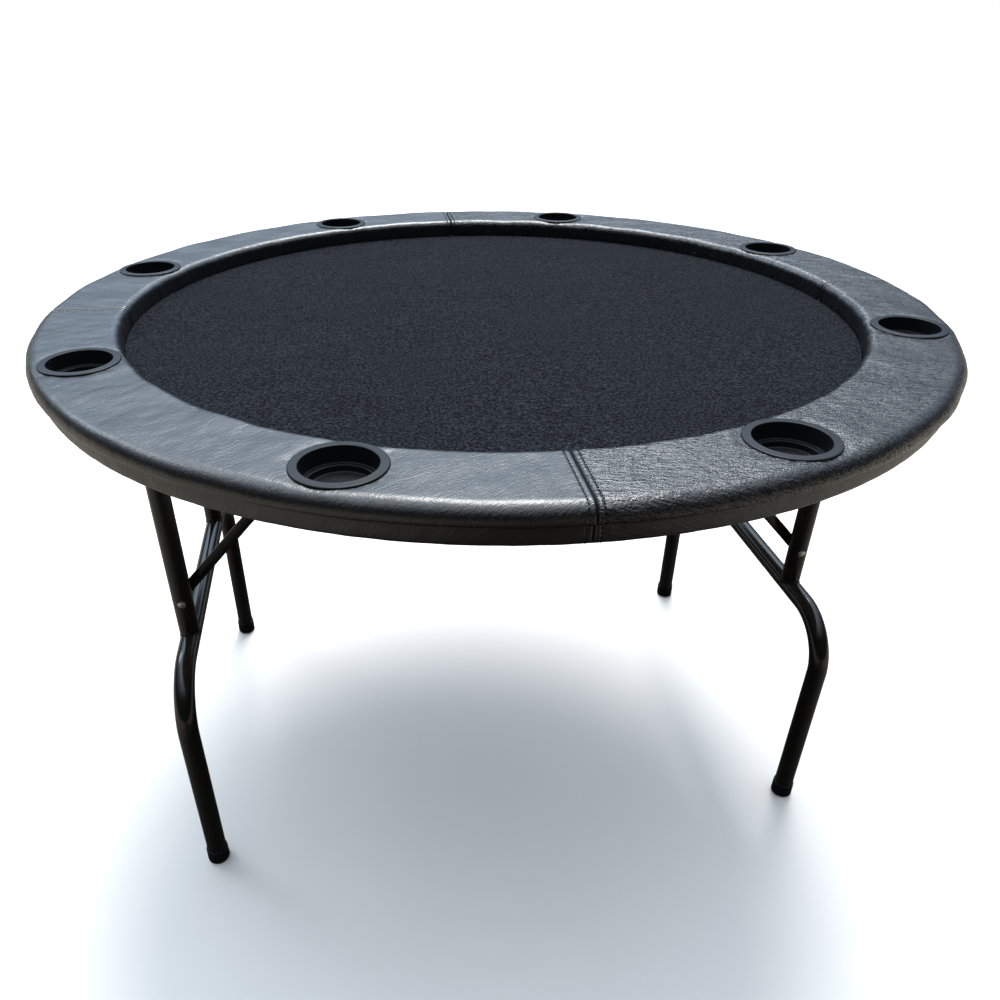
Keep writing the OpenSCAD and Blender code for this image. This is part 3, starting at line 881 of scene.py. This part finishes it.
def make_panel(quarter):
    """A quarter of the skin, with a wall, round holes for its cups, and a UV map of its vinyl laid flat."""
    name = "rail_panel_" + QUARTERS[quarter]
    rows = rail_rows()
    angles = panel_angles(quarter)
    grid = rail_skin(angles, rows)
    columns, count = grid.shape[:2]
    points = grid.reshape(-1, 3)
    gap = np.min([np.hypot(points[:, 0] - c.x, points[:, 1] - c.y) for c in CUP_PLACES], axis=0)
    on_top = points[:, 2] > RAIL_TOP - 4 * MM
    cut = (gap < CUP_HOLE_R) & on_top
    faces, corner = [], np.arange(columns * count).reshape(columns, count)
    for i in range(columns - 1):
        for j in range(count - 1):
            face = (corner[i, j], corner[i + 1, j], corner[i + 1, j + 1], corner[i, j + 1])
            if not cut[list(face)].any():
                faces.append(face)
    kept = np.zeros(len(points), bool)
    kept[np.array(faces).ravel()] = True
    shared = np.zeros(len(points), int)
    np.add.at(shared, np.array(faces).ravel(), 1)
    on_rim = kept & (gap < CUP_HOLE_R + 5 * MM) & (shared < 4) & on_top
    for index in np.flatnonzero(on_rim):
        cup = min(CUP_PLACES, key=lambda c: math.hypot(points[index, 0] - c.x, points[index, 1] - c.y))
        away = points[index, :2] - (cup.x, cup.y)
        points[index, :2] = np.array((cup.x, cup.y)) + away / np.linalg.norm(away) * CUP_HOLE_R
    number = np.cumsum(kept) - 1
    mesh = bpy.data.meshes.new(name)
    mesh.from_pydata(points[kept].tolist(), [], [tuple(int(number[v]) for v in f) for f in faces])
    on_band = np.tile(smooth_step(rows[2], rows[2][-1] - 0.062, rows[2][-1] - 0.050), columns)[kept]
    # the crush attribute carries both the grain's depth and the panel's painted shade in its hollows
    crush_and_shade = mesh.attributes.new("crush_and_shade", "FLOAT", "POINT")
    crush_and_shade.data.foreach_set("value", CRUSH_AND_SHADE[quarter] * (1 - on_band) + BAND_CRUSH * on_band)
    layer = mesh.uv_layers.new(name="metres")
    spread = COVER_INNER_R + rows[2] - WALL_DEEP
    turned = (angles - CUT_TURNS[quarter])[:, None]
    flat = np.stack([spread * np.cos(turned), spread * np.sin(turned)], axis=2).reshape(-1, 2)[kept]
    corners = np.empty(len(mesh.loops), int)
    mesh.loops.foreach_get("vertex_index", corners)
    layer.data.foreach_set("uv", flat[corners].ravel())
    mesh.polygons.foreach_set("use_smooth", [True] * len(mesh.polygons))
    mesh.update()
    if sum(p.normal.z * p.area for p in mesh.polygons if p.center.z > RAIL_TOP - 1 * MM) < 0:
        mesh.flip_normals()
    piece = shell_inwards(add_object(name, mesh), VINYL_THICK)
    settle(piece, "vinyl", "root", ["rail_cover_" + QUARTERS[quarter]])


def make_stitching():
    """A row of stitches on each side of each seam, and a near-black thread cord in each seam as painted shade
    for its groove, laid on the panels' own skin.
    """
    s = settings("rail")
    rows = rail_rows()
    place, _, run = rows
    first = int(np.argmax(place[:, 1] > COVER_LOW.z + STITCHED_FROM))
    last = int(len(run) - np.argmax(place[::-1, 1] > COVER_LOW.z + STITCHED_TO))
    r = place[first:last, 0]
    points, edges = [], []
    for seam in SEAMS:
        for side in (-1, 1):
            row = [rail_skin([seam + side * s.row_offset / r[k]], rows)[0, first + k]
                   for k in range(last - first)]
            start = len(points)
            points.extend(row)
            edges.extend((start + k, start + k + 1) for k in range(len(row) - 1))
    # painted shade: a near-black cord along each seam darkens its groove as the groove's shadow would
    shade_cords = []
    for seam in SEAMS:
        row = rail_skin([seam], rows)[0, first:last]
        shade_cords.append(sweep([Vector(p) for p in row], s.thread * 0.62, 8))
    settle(add_object("seam_cords", joined("seam_cords", shade_cords)), "thread", "root")
    mesh = bpy.data.meshes.new("seam_stitches")
    mesh.from_pydata([tuple(p) for p in points], edges, [])
    piece = add_object("seam_stitches", mesh)
    grown(piece, tree_of("stitches", stitch_tree), "thread",
          {"Pitch": s.stitch_pitch, "Stitch length": s.stitch_length, "Thread": s.thread})
    settle(piece, "thread", "root")


# ---------------------------------------------------------------- the playing field

def make_field():
    """A felt disc that lies on its foam with slow waves, and goes straight down where the rail clamps it."""
    s = settings("felt")
    top, flat_z, edge = FELT_HIGH.z, FELT_LOW.z + 1 * MM, COVER_INNER_R
    before_edge = np.array([10, 8, 6, 4.5, 3.2, 2.2, 1.4, 0.9, 0.6, 0.45, 0.35, 0.25]) * MM
    past_edge = np.array([0.6, 3, 20, 50]) * MM
    radii = np.concatenate([[0.002], np.linspace(0.006, edge - 0.012, 104), edge - before_edge,
                            edge + past_edge, [FELT_R]])
    segments = 300
    turn = np.arange(segments) * 2 * math.pi / segments
    x, y = radii[:, None] * np.cos(turn), radii[:, None] * np.sin(turn)
    inside = 1 - smooth_step(radii, edge - 0.05, edge - 0.012)[:, None]
    z = top + s.swell * inside * ripples(31, 9, 0.21, x, y) + 0.10 * MM * inside * ripples(32, 9, 0.05, x, y)
    z = z - 0.35 * MM * smooth_step(radii, edge - 0.010, edge - 0.0015)[:, None]
    drop = smooth_step(radii, edge - 0.0014, edge - 0.0002)[:, None]
    z = z * (1 - drop) + flat_z * drop
    points = np.stack([x, y, z], axis=2).reshape(-1, 3).tolist() + [(0, 0, float(z[0].mean()))]
    faces = [(a, d, c, b) for a, b, c, d in bands(len(radii), segments)]
    middle_point = len(points) - 1
    faces.extend((middle_point, k, (k + 1) % segments) for k in range(segments))
    piece = add_object("felt_field", mesh_of("felt_field", points, faces))
    if piece.data.polygons[0].normal.z < 0:
        piece.data.flip_normals()
    shell_inwards(piece, FELT_THICK)
    settle(piece, "felt", "root", ["felt"])


# ---------------------------------------------------------------- cup holders

def cup_profile():
    """From the middle of the floor, up the inside, over the flange and down the outside."""
    s = settings("cups")
    low, top = (v.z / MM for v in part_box("cup_holder_1"))
    flange, opening, wall, ledge = s.flange / MM, s.opening / MM, s.wall / MM, s.ledge / MM
    shelf, floor = top - s.ledge_drop / MM, low + wall
    path = [(0, floor + 0.25)] + line((8, floor + 0.25), (ledge - 2, floor), 5)
    path += arc(ledge - 2, floor + 2, 2, -90, 0, 6) + line((ledge, floor + 2), (ledge, shelf - 1), 3)[1:]
    path += arc(ledge + 1, shelf - 1, 1, 180, 90, 5) + line((ledge + 1, shelf), (opening - 1.4, shelf), 3)[1:]
    path += arc(opening - 1.4, shelf + 1.4, 1.4, -90, 0, 6)
    path += line((opening, shelf + 1.4), (opening, top - 1.1), 6)[1:]
    path += arc(opening + 1.1, top - 1.1, 1.1, 180, 75, 7)
    path += line((opening + 1.9, top - 0.12), (flange - 2.2, top - 0.30), 5)
    path += arc(flange - 1.5, top - 1.80, 1.5, 90, -8, 9)
    under, outside, waist = top - 2, opening + wall, ledge + wall
    path += [(flange - 0.15, under), (flange - 0.5, under), (outside + 1, under), (outside, under - 1)]
    path += [(outside, shelf - wall), (waist, shelf - wall), (waist, low + 1), (waist - 1, low), (0, low)]
    return [(r * MM, z * MM) for r, z in path]


def make_cups():
    for index, place in zip(CUPS, CUP_PLACES):
        made_of(f"cup_{index}", [lathe(cup_profile(), 144, (place.x, place.y, 0))], "cup_plastic", "root",
                [f"cup_holder_{index}"], 50)


# ---------------------------------------------------------------- leg sets

ALONG_Y = Matrix.Rotation(math.radians(-90), 3, "X")


def end_turn(end):
    """Turns a lathed shape's axis towards the outside of the front or back end."""
    return Matrix.Rotation(math.radians(90 if end < 0 else -90), 3, "X")


def make_leg_tube(side, x):
    mesh = bpy.data.meshes.new("leg_tube")
    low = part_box(f"leg_tube_{side}")[0].z
    mesh.from_pydata([(x, -FOOT_Y, low), (x, -FOOT_Y, CROSS_Z), (x, FOOT_Y, CROSS_Z), (x, FOOT_Y, low)],
                     [(0, 1), (1, 2), (2, 3)], [])
    piece = add_object(f"bent_leg_{side}", mesh)
    grown(piece, tree_of("bent tube", tube_tree), "enamel",
          {"Bend": settings("legs").bend, "Tube radius": TUBE_R})
    outwards(piece.data)
    auto_smooth(piece.data)
    settle(piece, "enamel", f"{side}_leg", [f"leg_tube_{side}"])


def make_post(side, x, end_name, end):
    """A post, pressed flat for its rivet's head."""
    segments, flat_r, slope = 64, 6.2 * MM, 2.4 * MM
    near = [RIVET_Z + d * MM for d in np.arange(-9, 9.1, 0.75)]
    heights = sorted([CROSS_Z, CROSS_Z + 0.02, PIVOT_Z - 0.02, PIVOT_Z] + near
                     + [RIVET_Z + 0.03 + 0.025 * k for k in range(10)])
    seat = TUBE_R - 0.95 * MM
    points = []
    for z in heights:
        for k in range(segments):
            a = 2 * math.pi * k / segments
            px, py = TUBE_R * math.cos(a), TUBE_R * math.sin(a)
            if end * py > 0:
                reach = math.hypot(px, z - RIVET_Z)
                pressed = seat + 1.2 * MM * max(0.0, (reach - flat_r) / slope)
                py = end * min(end * py, pressed)
            points.append(Vector((x + px, end * POST_Y + py, z)))
    made_of(f"post_tube_{end_name}_{side}", [capped(points, segments)], "enamel", f"{side}_leg",
            [f"post_{end_name}_{side}"])


def make_welds(side, x):
    """Rippled beads where each post meets the cross tube and the pivot tube."""
    s = settings("legs")
    draw = np.random.default_rng(41 if side == "left" else 42)
    parts = []
    for end in ENDS.values():
        for z, way in ((CROSS_Z, 1), (PIVOT_Z, -1)):
            count = 132
            wander = draw.uniform(-1, 1, count)
            wander = (wander + np.roll(wander, 1) + np.roll(wander, 2)) / 3
            path = []
            for k in range(count):
                a = 2 * math.pi * k / count
                r = TUBE_R + 0.25 * MM
                rise = r * math.sqrt(math.sin(a) ** 2 + 0.05) + 0.2 * MM * wander[k]
                path.append(Vector((x + r * math.cos(a), end * POST_Y + r * math.sin(a), z + way * rise)))
            thick = [s.weld / 2 * (1 + 0.16 * math.cos(k * math.pi / 2) + 0.10 * wander[k])
                     for k in range(count)]
            parts.append(sweep(path, thick, 10, closed=True))
    settle(add_object(f"weld_beads_{side}", joined(f"weld_beads_{side}", parts)), "enamel", f"{side}_leg")


def make_pivot_tube(side, x):
    half = span(f"pivot_tube_{side}").y / 2
    profile = [(0, -half), (TUBE_R - 1.2 * MM, -half), (TUBE_R, -half + 0.3 * MM)]
    profile += [(TUBE_R, -half + 2 * half * k / 20) for k in range(1, 20)]
    profile += [(TUBE_R, half - 0.3 * MM), (TUBE_R - 1.2 * MM, half), (0, half)]
    made_of(f"pivot_bar_{side}", [lathe(profile, 64, (x, 0, PIVOT_Z), ALONG_Y)], "enamel", f"{side}_leg",
            [f"pivot_tube_{side}"])
    reach = span(f"pivot_plugs_{side}").y / 2
    thick = reach - half
    plugs = []
    for end in ENDS.values():
        cap = [(0, thick), (9 * MM, thick), (TUBE_R - 1.2 * MM, thick - 0.25 * MM),
               (TUBE_R - 0.4 * MM, thick - 0.8 * MM), (TUBE_R, thick - 1.4 * MM), (TUBE_R, 0.1 * MM),
               (TUBE_R - 1.4 * MM, 0.1 * MM), (TUBE_R - 1.4 * MM, -12 * MM), (0, -12 * MM)]
        plugs.append(lathe(cap, 56, (x, end * half, PIVOT_Z), end_turn(end)))
    made_of(f"tube_plugs_{side}", plugs, "cap_plastic", f"{side}_leg", [f"pivot_plugs_{side}"])


def make_foot(side, x, end_name, end):
    node = f"foot_cap_{end_name}_{side}"
    r, top = span(node).x / 2, span(node).z
    grip, floor = TUBE_R + 0.05 * MM, 4 * MM
    profile = [(0, 0.0), (r - 4.5 * MM, 0.0)]
    profile += [(px * MM, pz * MM) for px, pz in arc(r / MM - 2.6, 2.6, 2.6, -90, 0, 8)]
    profile += [(r - 0.15 * MM * k / 4, 2.6 * MM + (top - 4.4 * MM) * k / 4) for k in range(1, 5)]
    lip = r / MM - 0.15
    profile += [(px * MM, pz * MM) for px, pz in arc(lip - 1.2, top / MM - 1.2, 1.2, 0, 90, 6)]
    profile += [(grip, top), (grip, floor), (0, floor)]
    made_of(f"foot_{end_name}_{side}", [lathe(profile, 72, (x, end * FOOT_Y, 0))], "cap_plastic",
            f"{side}_leg", [node], 45)


HEAD_R, HEAD_HIGH = 6.5 * MM, 2 * MM       # a brace rivet's head


def rivet_profile(r, height):
    """A domed head standing on z = 0, with a small step at its rim."""
    return [(0, height), (0.30 * r, height * 0.96), (0.55 * r, height * 0.84), (0.76 * r, height * 0.62),
            (0.90 * r, height * 0.36), (0.97 * r, height * 0.18), (r, 0.06 * r), (r, 0)]


def make_post_rivets(side, x):
    """Domed heads outside each post, and the spacer and head that hold the lower brace inside it."""
    body, node = f"{side}_leg", f"leg_rivets_{side}"
    reach = span(node).y / 2
    inner = min(abs(v.co.y) for v in frame["nodes"][node].data.vertices)
    places, shanks = [], []
    start = inner + HEAD_HIGH
    length_in = POST_Y - TUBE_R - start
    bush = [(0, 0), (3 * MM, 0), (3 * MM, length_in - 3 * MM), (HEAD_R - 0.3 * MM, length_in - 3 * MM),
            (HEAD_R, length_in - 2.7 * MM), (HEAD_R, length_in + 0.6 * MM), (0, length_in + 0.6 * MM)]
    for end in ENDS.values():
        places.append(((x, end * (reach - HEAD_HIGH), RIVET_Z), (0, end, 0), (1, 0, 0), HEAD_R - 1 * MM))
        places.append(((x, end * start, RIVET_Z), (0, -end, 0), (1, 0, 0), HEAD_R))
        shanks.append(lathe(bush, 40, (x, end * start, RIVET_Z), end_turn(end)))
    set_on_points(f"post_rivets_{side}", rivet_shape(), places, "zinc", body, node, 40)
    made_of(f"post_spacers_{side}", shanks, "zinc", body)


def rivet_shape():
    """A head of radius 1, scaled where it is set."""
    return auto_smooth(joined("rivet_head", [lathe(rivet_profile(1.0, 0.31) + [(0, 0)], 40)]))


# ---------------------------------------------------------------- braces

def flat_bar(start, finish_at, low_y, high_y, width, edge):
    """A flat bar with round ends and rounded edges, between two points of a brace's plane."""
    a, b = Vector((start.x, 0, start.z)), Vector((finish_at.x, 0, finish_at.z))
    ahead = (b - a).normalized()
    side = Vector((-ahead.z, 0, ahead.x))
    thick, slight = high_y - low_y, edge * 0.3
    layers = [(0, edge), (slight, slight), (edge, 0),
              (thick - edge, 0), (thick - slight, slight), (thick, edge)]
    turns = 20
    points = []
    for y, inset in layers:
        r = width / 2 - inset
        for centre, start_angle in ((b, -90), (a, 90)):
            for k in range(turns + 1):
                t = math.radians(start_angle + 180 * k / turns)
                points.append(centre + ahead * (r * math.cos(t)) + side * (r * math.sin(t))
                              + Vector((0, low_y + y, 0)))
    return capped(points, 2 * (turns + 1))


def reach_y(node):
    """How near to the table's middle a node comes, and how far out it reaches, towards the front or back."""
    low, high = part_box(node)
    return sorted((abs(low.y), abs(high.y)))


def make_brace(side, sign, end_name, end):
    """A lower bar with the elbow's rivet, and an upper bar with the boss that the rivet holds."""
    edge, place = settings("legs").edge, f"{end_name}_{side}"
    lower, upper, rivet = f"lower_brace_{place}", f"upper_brace_{place}", f"elbow_rivet_{place}"
    lower_body, upper_body = f"{side}_{end_name}_lower_brace", f"{side}_{end_name}_upper_brace"
    foot, anchor, elbow = joint_place(lower_body + "_turn"), joint_place(upper_body + "_turn"), middle(rivet)
    width = 2 * abs(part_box(lower)[0 if sign < 0 else 1].x - foot.x)
    lower_in, lower_out = reach_y(lower)
    rivet_in, rivet_out = reach_y(rivet)
    upper_in, boss_out = reach_y(upper)
    bar_in = upper_in + HEAD_HIGH
    bar_out = bar_in + lower_out - lower_in
    rim = HEAD_R - 0.4 * MM

    def on_elbow(profile, y, way=end):
        return lathe(profile, 40, (elbow.x, end * y, elbow.z), end_turn(way))

    bar = flat_bar(foot, elbow, *sorted((end * lower_in, end * lower_out)), width, edge)
    made_of(f"lower_bar_{place}", [bar], "enamel", lower_body, [lower], 35)
    washer = lower_in - rivet_in
    made_of(f"elbow_head_{place}", [
        on_elbow(rivet_profile(HEAD_R, rivet_out - lower_out) + [(0, 0)], lower_out),
        on_elbow([(0, 0), (rim, 0), (HEAD_R, 0.3 * MM), (HEAD_R, washer), (0, washer)], rivet_in),
    ], "zinc", lower_body, [rivet])
    bar = flat_bar(anchor, elbow, *sorted((end * bar_in, end * bar_out)), width, edge)
    made_of(f"upper_bar_{place}", [bar], "enamel", upper_body, [upper], 35)
    boss = boss_out - bar_out
    made_of(f"elbow_boss_{place}", [
        on_elbow([(0, 0), (HEAD_R, 0), (HEAD_R, boss - 0.3 * MM), (rim, boss), (0, boss)], bar_out),
        on_elbow(rivet_profile(HEAD_R, HEAD_HIGH) + [(0, 0)], bar_in, -end),
    ], "zinc", upper_body)


# ---------------------------------------------------------------- underside

def islands(node):
    """The box of each separate solid in a CAD node, as (low, high)."""
    bm = bmesh.new()
    bm.from_mesh(frame["nodes"][node].data)
    bmesh.ops.remove_doubles(bm, verts=bm.verts, dist=1e-6)
    seen, boxes = set(), []
    for vert in bm.verts:
        if vert.index in seen:
            continue
        seen.add(vert.index)
        stack, cloud = [vert], []
        while stack:
            v = stack.pop()
            cloud.append(v.co.copy())
            for e in v.link_edges:
                other = e.other_vert(v)
                if other.index not in seen:
                    seen.add(other.index)
                    stack.append(other)
        boxes.append((Vector([min(c[i] for c in cloud) for i in range(3)]),
                      Vector([max(c[i] for c in cloud) for i in range(3)])))
    bm.free()
    return boxes


CROWN = 0.53           # height of a screw's head, for a radius of 1


def screw_shape():
    """A pan head of radius 1 with a cross recess, its crown towards +Z, and a short shank."""
    rings = [0.0, 0.06, 0.12, 0.18, 0.24, 0.30, 0.36, 0.42, 0.48, 0.56, 0.68, 0.80, 0.90, 0.97, 1.0]
    points, faces = lathe([(r, CROWN * math.sqrt(max(0.0, 1 - (r * 0.93) ** 4))) for r in rings]
                          + [(1.0, 0), (0.5, 0), (0.46, -2.2), (0, -2.6)], 40)
    for p in points:
        if p.z > 0.3:
            for u, v in ((p.x, p.y), (p.y, p.x)):
                if abs(u) < 0.50 and abs(v) < 0.13:
                    p.z = min(p.z, CROWN - 0.32 * (1 - (abs(u) / 0.55) ** 2) - 0.02)
    return auto_smooth(joined("screw", [(points, faces)]), 30)


CROOKED = 0.16         # how far a staple may be turned from true


def staple_shape(width):
    """A staple's crown, its underside on z = 0, turned along X, with the tops of its legs going in."""
    r = 0.35 * MM
    half = width / 2 - r
    path = [Vector((-half, 0, -2 * MM)), Vector((-half, 0, -0.2 * MM)), Vector((-half + 0.3 * MM, 0, r)),
            Vector((half - 0.3 * MM, 0, r)), Vector((half, 0, -0.2 * MM)), Vector((half, 0, -2 * MM))]
    return joined("staple", [sweep(path, r, 6)])


def make_fixings():
    for node, name in (("rail_screws", "deck_screws"), ("bracket_screws", "block_screws"),
                       ("anchor_screws", "cheek_screws")):
        places = []
        for index, (low, high) in enumerate(islands(node)):
            r = (high.x - low.x) / 2
            turn = index * 2.4
            places.append((((low.x + high.x) / 2, (low.y + high.y) / 2, low.z + CROWN * r), (0, 0, -1),
                           (math.cos(turn), math.sin(turn), 0), r))
        set_on_points(name, screw_shape(), places, "zinc", "root", node, 30)
    places, width = [], 0.0
    for low, high in islands("cover_staples"):
        centre = (low + high) / 2
        width = max(width, high.x - low.x, high.y - low.y)
        outward = Vector((centre.x, centre.y, 0)).normalized()
        places.append(((centre.x, centre.y, high.z), (0, 0, -1), (-outward.y, outward.x, 0), 1.0))
    draw = np.random.default_rng(51)
    turned = []
    for place, facing, ahead, size in places:
        a = draw.uniform(-CROOKED, CROOKED)
        turned.append((place, facing, (ahead[0] * math.cos(a) - ahead[1] * math.sin(a),
                                       ahead[0] * math.sin(a) + ahead[1] * math.cos(a), 0), size))
    set_on_points("skirt_staples", staple_shape(width), turned, "zinc", "root", "cover_staples")
    places = []
    for low, high in islands("anchor_rivets"):
        x, z = (low.x + high.x) / 2, (low.z + high.z) / 2
        end = 1 if high.y > 0 else -1
        near, far = sorted((abs(low.y), abs(high.y)))
        places.append(((x, end * (far - HEAD_HIGH), z), (0, end, 0), (1, 0, 0), HEAD_R))
        places.append(((x, end * (near + HEAD_HIGH), z), (0, -end, 0), (1, 0, 0), HEAD_R))
    set_on_points("cheek_rivets", rivet_shape(), places, "zinc", "root", "anchor_rivets", 40)


def make_blocks():
    """The pivot blocks and brace cheeks, with their cut edges rounded."""
    for side in SIDES:
        for end in ENDS:
            block = softened(f"pivot_block_{end}_{side}", f"pivot_bracket_{end}_{side}", 0.9 * MM)
            settle(block, "cap_plastic", "root", [f"pivot_bracket_{end}_{side}"])
            cheek = softened(f"brace_cheek_{end}_{side}", f"brace_anchor_{end}_{side}", 0.4 * MM)
            settle(cheek, "zinc", "root", [f"brace_anchor_{end}_{side}"])


# ---------------------------------------------------------------- operators

BRIGHTEST = (0.0, 0.42, 0.91)      # the way towards the middle of the light overhead
DIMMEST = 0.012                    # how bright the surroundings are where nothing lights them
FLOOR_R, FLOOR_THICK = 60.0, 0.0195
LAMPS = (                          # name, the way towards it, width in degrees, energy, colour
    ("ceiling lamp", (0.12, 0.45, 0.88), 26, 3.4, (1.0, 0.99, 0.97)),
    ("side window", (-0.62, 0.55, 0.56), 20, 0.5, (0.80, 0.90, 1.0)))


def surroundings(net):
    """Light that is bright overhead and behind the table and dim in front, and evenly pale to the camera."""
    s = settings("stage")
    way = net.node("ShaderNodeTexCoord").out("Generated")
    axes = net.axes(way)
    up, right = axes.out("Z"), axes.out("X")
    over = net.node("ShaderNodeVectorMath", {"operation": "DOT_PRODUCT"}, {0: way, 1: BRIGHTEST}).out("Value")
    open_side = (1 - right.step(0.28, 0.65) * 0.3) * (1 - (0 - right).step(0.35, 0.85) * 0.6)
    level = over.step(0.2, 1.0) * up.step(0.16, 0.38) * open_side * s.strength + DIMMEST
    tint = net.mix(up.step(0.2, 0.65), s.sky, s.ceiling)
    light = net.node("ShaderNodeVectorMath", {"operation": "SCALE"}, {0: tint, "Scale": level})
    return net.seen(light, s.backdrop)


class MakeStage(bpy.types.Operator):
    """Makes the floor, the soft light and the camera"""
    bl_idname = "card_table.make_stage"
    bl_label = "Stage"

    def execute(self, context):
        s = settings("stage")
        level, under = -0.5 * MM, -0.5 * MM - FLOOR_THICK
        disc = lathe([(0, level), (FLOOR_R, level), (FLOOR_R, under), (0, under)], 96)
        floor = add_object("floor", joined("floor", [disc]))
        floor.data.materials.append(finish("floor", floor_surface))

        world = bpy.data.worlds.new("soft surroundings")
        world.use_nodes = True
        world.node_tree.links.new(surroundings(Net(world.node_tree)).socket,
                                  world.node_tree.nodes["Background"].inputs["Color"])
        context.scene.world = world

        for name, way, spread, power, tint in LAMPS:
            lamp = bpy.data.lights.new(name, "SUN")
            lamp.angle, lamp.energy, lamp.color = math.radians(spread), power, tint
            holder = bpy.data.objects.new(name, lamp)
            context.scene.collection.objects.link(holder)
            holder.rotation_euler = (-Vector(way)).to_track_quat("-Z", "Y").to_euler()

        flat, drop = math.cos(s.pitch), math.sin(s.pitch)
        ahead = Vector((math.sin(s.yaw) * flat, math.cos(s.yaw) * flat, -drop))
        level = Vector((math.cos(s.yaw), -math.sin(s.yaw), 0))
        upward = level.cross(ahead)
        right = math.cos(s.roll) * level + math.sin(s.roll) * upward
        top = -math.sin(s.roll) * level + math.cos(s.roll) * upward
        lens = bpy.data.cameras.new("camera")
        lens.sensor_width, lens.lens = 36.0, s.lens
        lens.shift_x, lens.shift_y = 0.04, 0.05
        lens.clip_start, lens.clip_end = 0.05, 200
        camera = bpy.data.objects.new("camera", lens)
        context.scene.collection.objects.link(camera)
        turn = Matrix((right, top, -ahead)).transposed().to_4x4()
        camera.matrix_world = Matrix.Translation(Vector(s.camera)) @ turn
        context.scene.camera = camera
        context.scene.view_settings.view_transform = "Standard"
        return {"FINISHED"}


class MakeRailCover(bpy.types.Operator):
    """Makes the rail's four padded vinyl panels"""
    bl_idname = "card_table.make_rail_cover"
    bl_label = "Rail cover"

    def execute(self, context):
        for quarter in range(4):
            make_panel(quarter)
        return {"FINISHED"}


class MakeStitching(bpy.types.Operator):
    """Makes the stitches beside the rail's seams"""
    bl_idname = "card_table.make_stitching"
    bl_label = "Stitching"

    def execute(self, context):
        make_stitching()
        return {"FINISHED"}


class MakeField(bpy.types.Operator):
    """Makes the stretched felt of the playing field"""
    bl_idname = "card_table.make_field"
    bl_label = "Felt"

    def execute(self, context):
        make_field()
        return {"FINISHED"}


class MakeCups(bpy.types.Operator):
    """Makes the eight cup holders"""
    bl_idname = "card_table.make_cups"
    bl_label = "Cup holders"

    def execute(self, context):
        make_cups()
        return {"FINISHED"}


class MakeLegSets(bpy.types.Operator):
    """Makes the two leg sets with their posts, welds, plugs, rivets and feet"""
    bl_idname = "card_table.make_leg_sets"
    bl_label = "Leg sets"

    def execute(self, context):
        for side, sign in SIDES.items():
            x = sign * LEG_X
            make_leg_tube(side, x)
            make_pivot_tube(side, x)
            make_welds(side, x)
            make_post_rivets(side, x)
            for end_name, end in ENDS.items():
                make_post(side, x, end_name, end)
                make_foot(side, x, end_name, end)
        return {"FINISHED"}


class MakeBraces(bpy.types.Operator):
    """Makes the four folding braces"""
    bl_idname = "card_table.make_braces"
    bl_label = "Braces"

    def execute(self, context):
        for side, sign in SIDES.items():
            for end_name, end in ENDS.items():
                make_brace(side, sign, end_name, end)
        return {"FINISHED"}


class MakeUnderside(bpy.types.Operator):
    """Makes the blocks, cheeks, screws and staples, and finishes the board, foam and core"""
    bl_idname = "card_table.make_underside"
    bl_label = "Underside"

    def execute(self, context):
        make_blocks()
        make_fixings()
        for node, name in (("deck_board", "plywood"), ("rail_core", "fibreboard"), ("rail_foam", "foam"),
                           ("surface_foam", "foam")):
            data = frame["nodes"][node].data
            data.materials.clear()
            data.materials.append(finish_of(name))
        return {"FINISHED"}


STEPS = (MakeStage, MakeRailCover, MakeStitching, MakeField, MakeCups, MakeLegSets, MakeBraces, MakeUnderside)


class CardTablePanel(bpy.types.Panel):
    """Lists the table's pieces and their settings"""
    bl_idname = "VIEW3D_PT_card_table"
    bl_label = "Card table"
    bl_space_type = "VIEW_3D"
    bl_region_type = "UI"
    bl_category = "Card table"

    def draw(self, context):
        for step in STEPS:
            self.layout.operator(step.bl_idname)
        for group, kind in GROUPS.items():
            box = self.layout.box()
            box.label(text=kind.__doc__)
            for name in kind.__annotations__:
                box.prop(settings(group), name)


def register():
    for kind in (*GROUPS.values(), *STEPS, CardTablePanel):
        bpy.utils.register_class(kind)
    for group, kind in GROUPS.items():
        setattr(bpy.types.Scene, "card_table_" + group, bpy.props.PointerProperty(type=kind))


def unregister():
    for group in GROUPS:
        delattr(bpy.types.Scene, "card_table_" + group)
    for kind in (CardTablePanel, *reversed(STEPS), *GROUPS.values()):
        bpy.utils.unregister_class(kind)


def main():
    register()
    bpy.ops.card_table.make_stage()
    bpy.ops.card_table.make_rail_cover()
    bpy.ops.card_table.make_stitching()
    bpy.ops.card_table.make_field()
    bpy.ops.card_table.make_cups()
    bpy.ops.card_table.make_leg_sets()
    bpy.ops.card_table.make_braces()
    bpy.ops.card_table.make_underside()


if __name__ == "__main__":
    main()
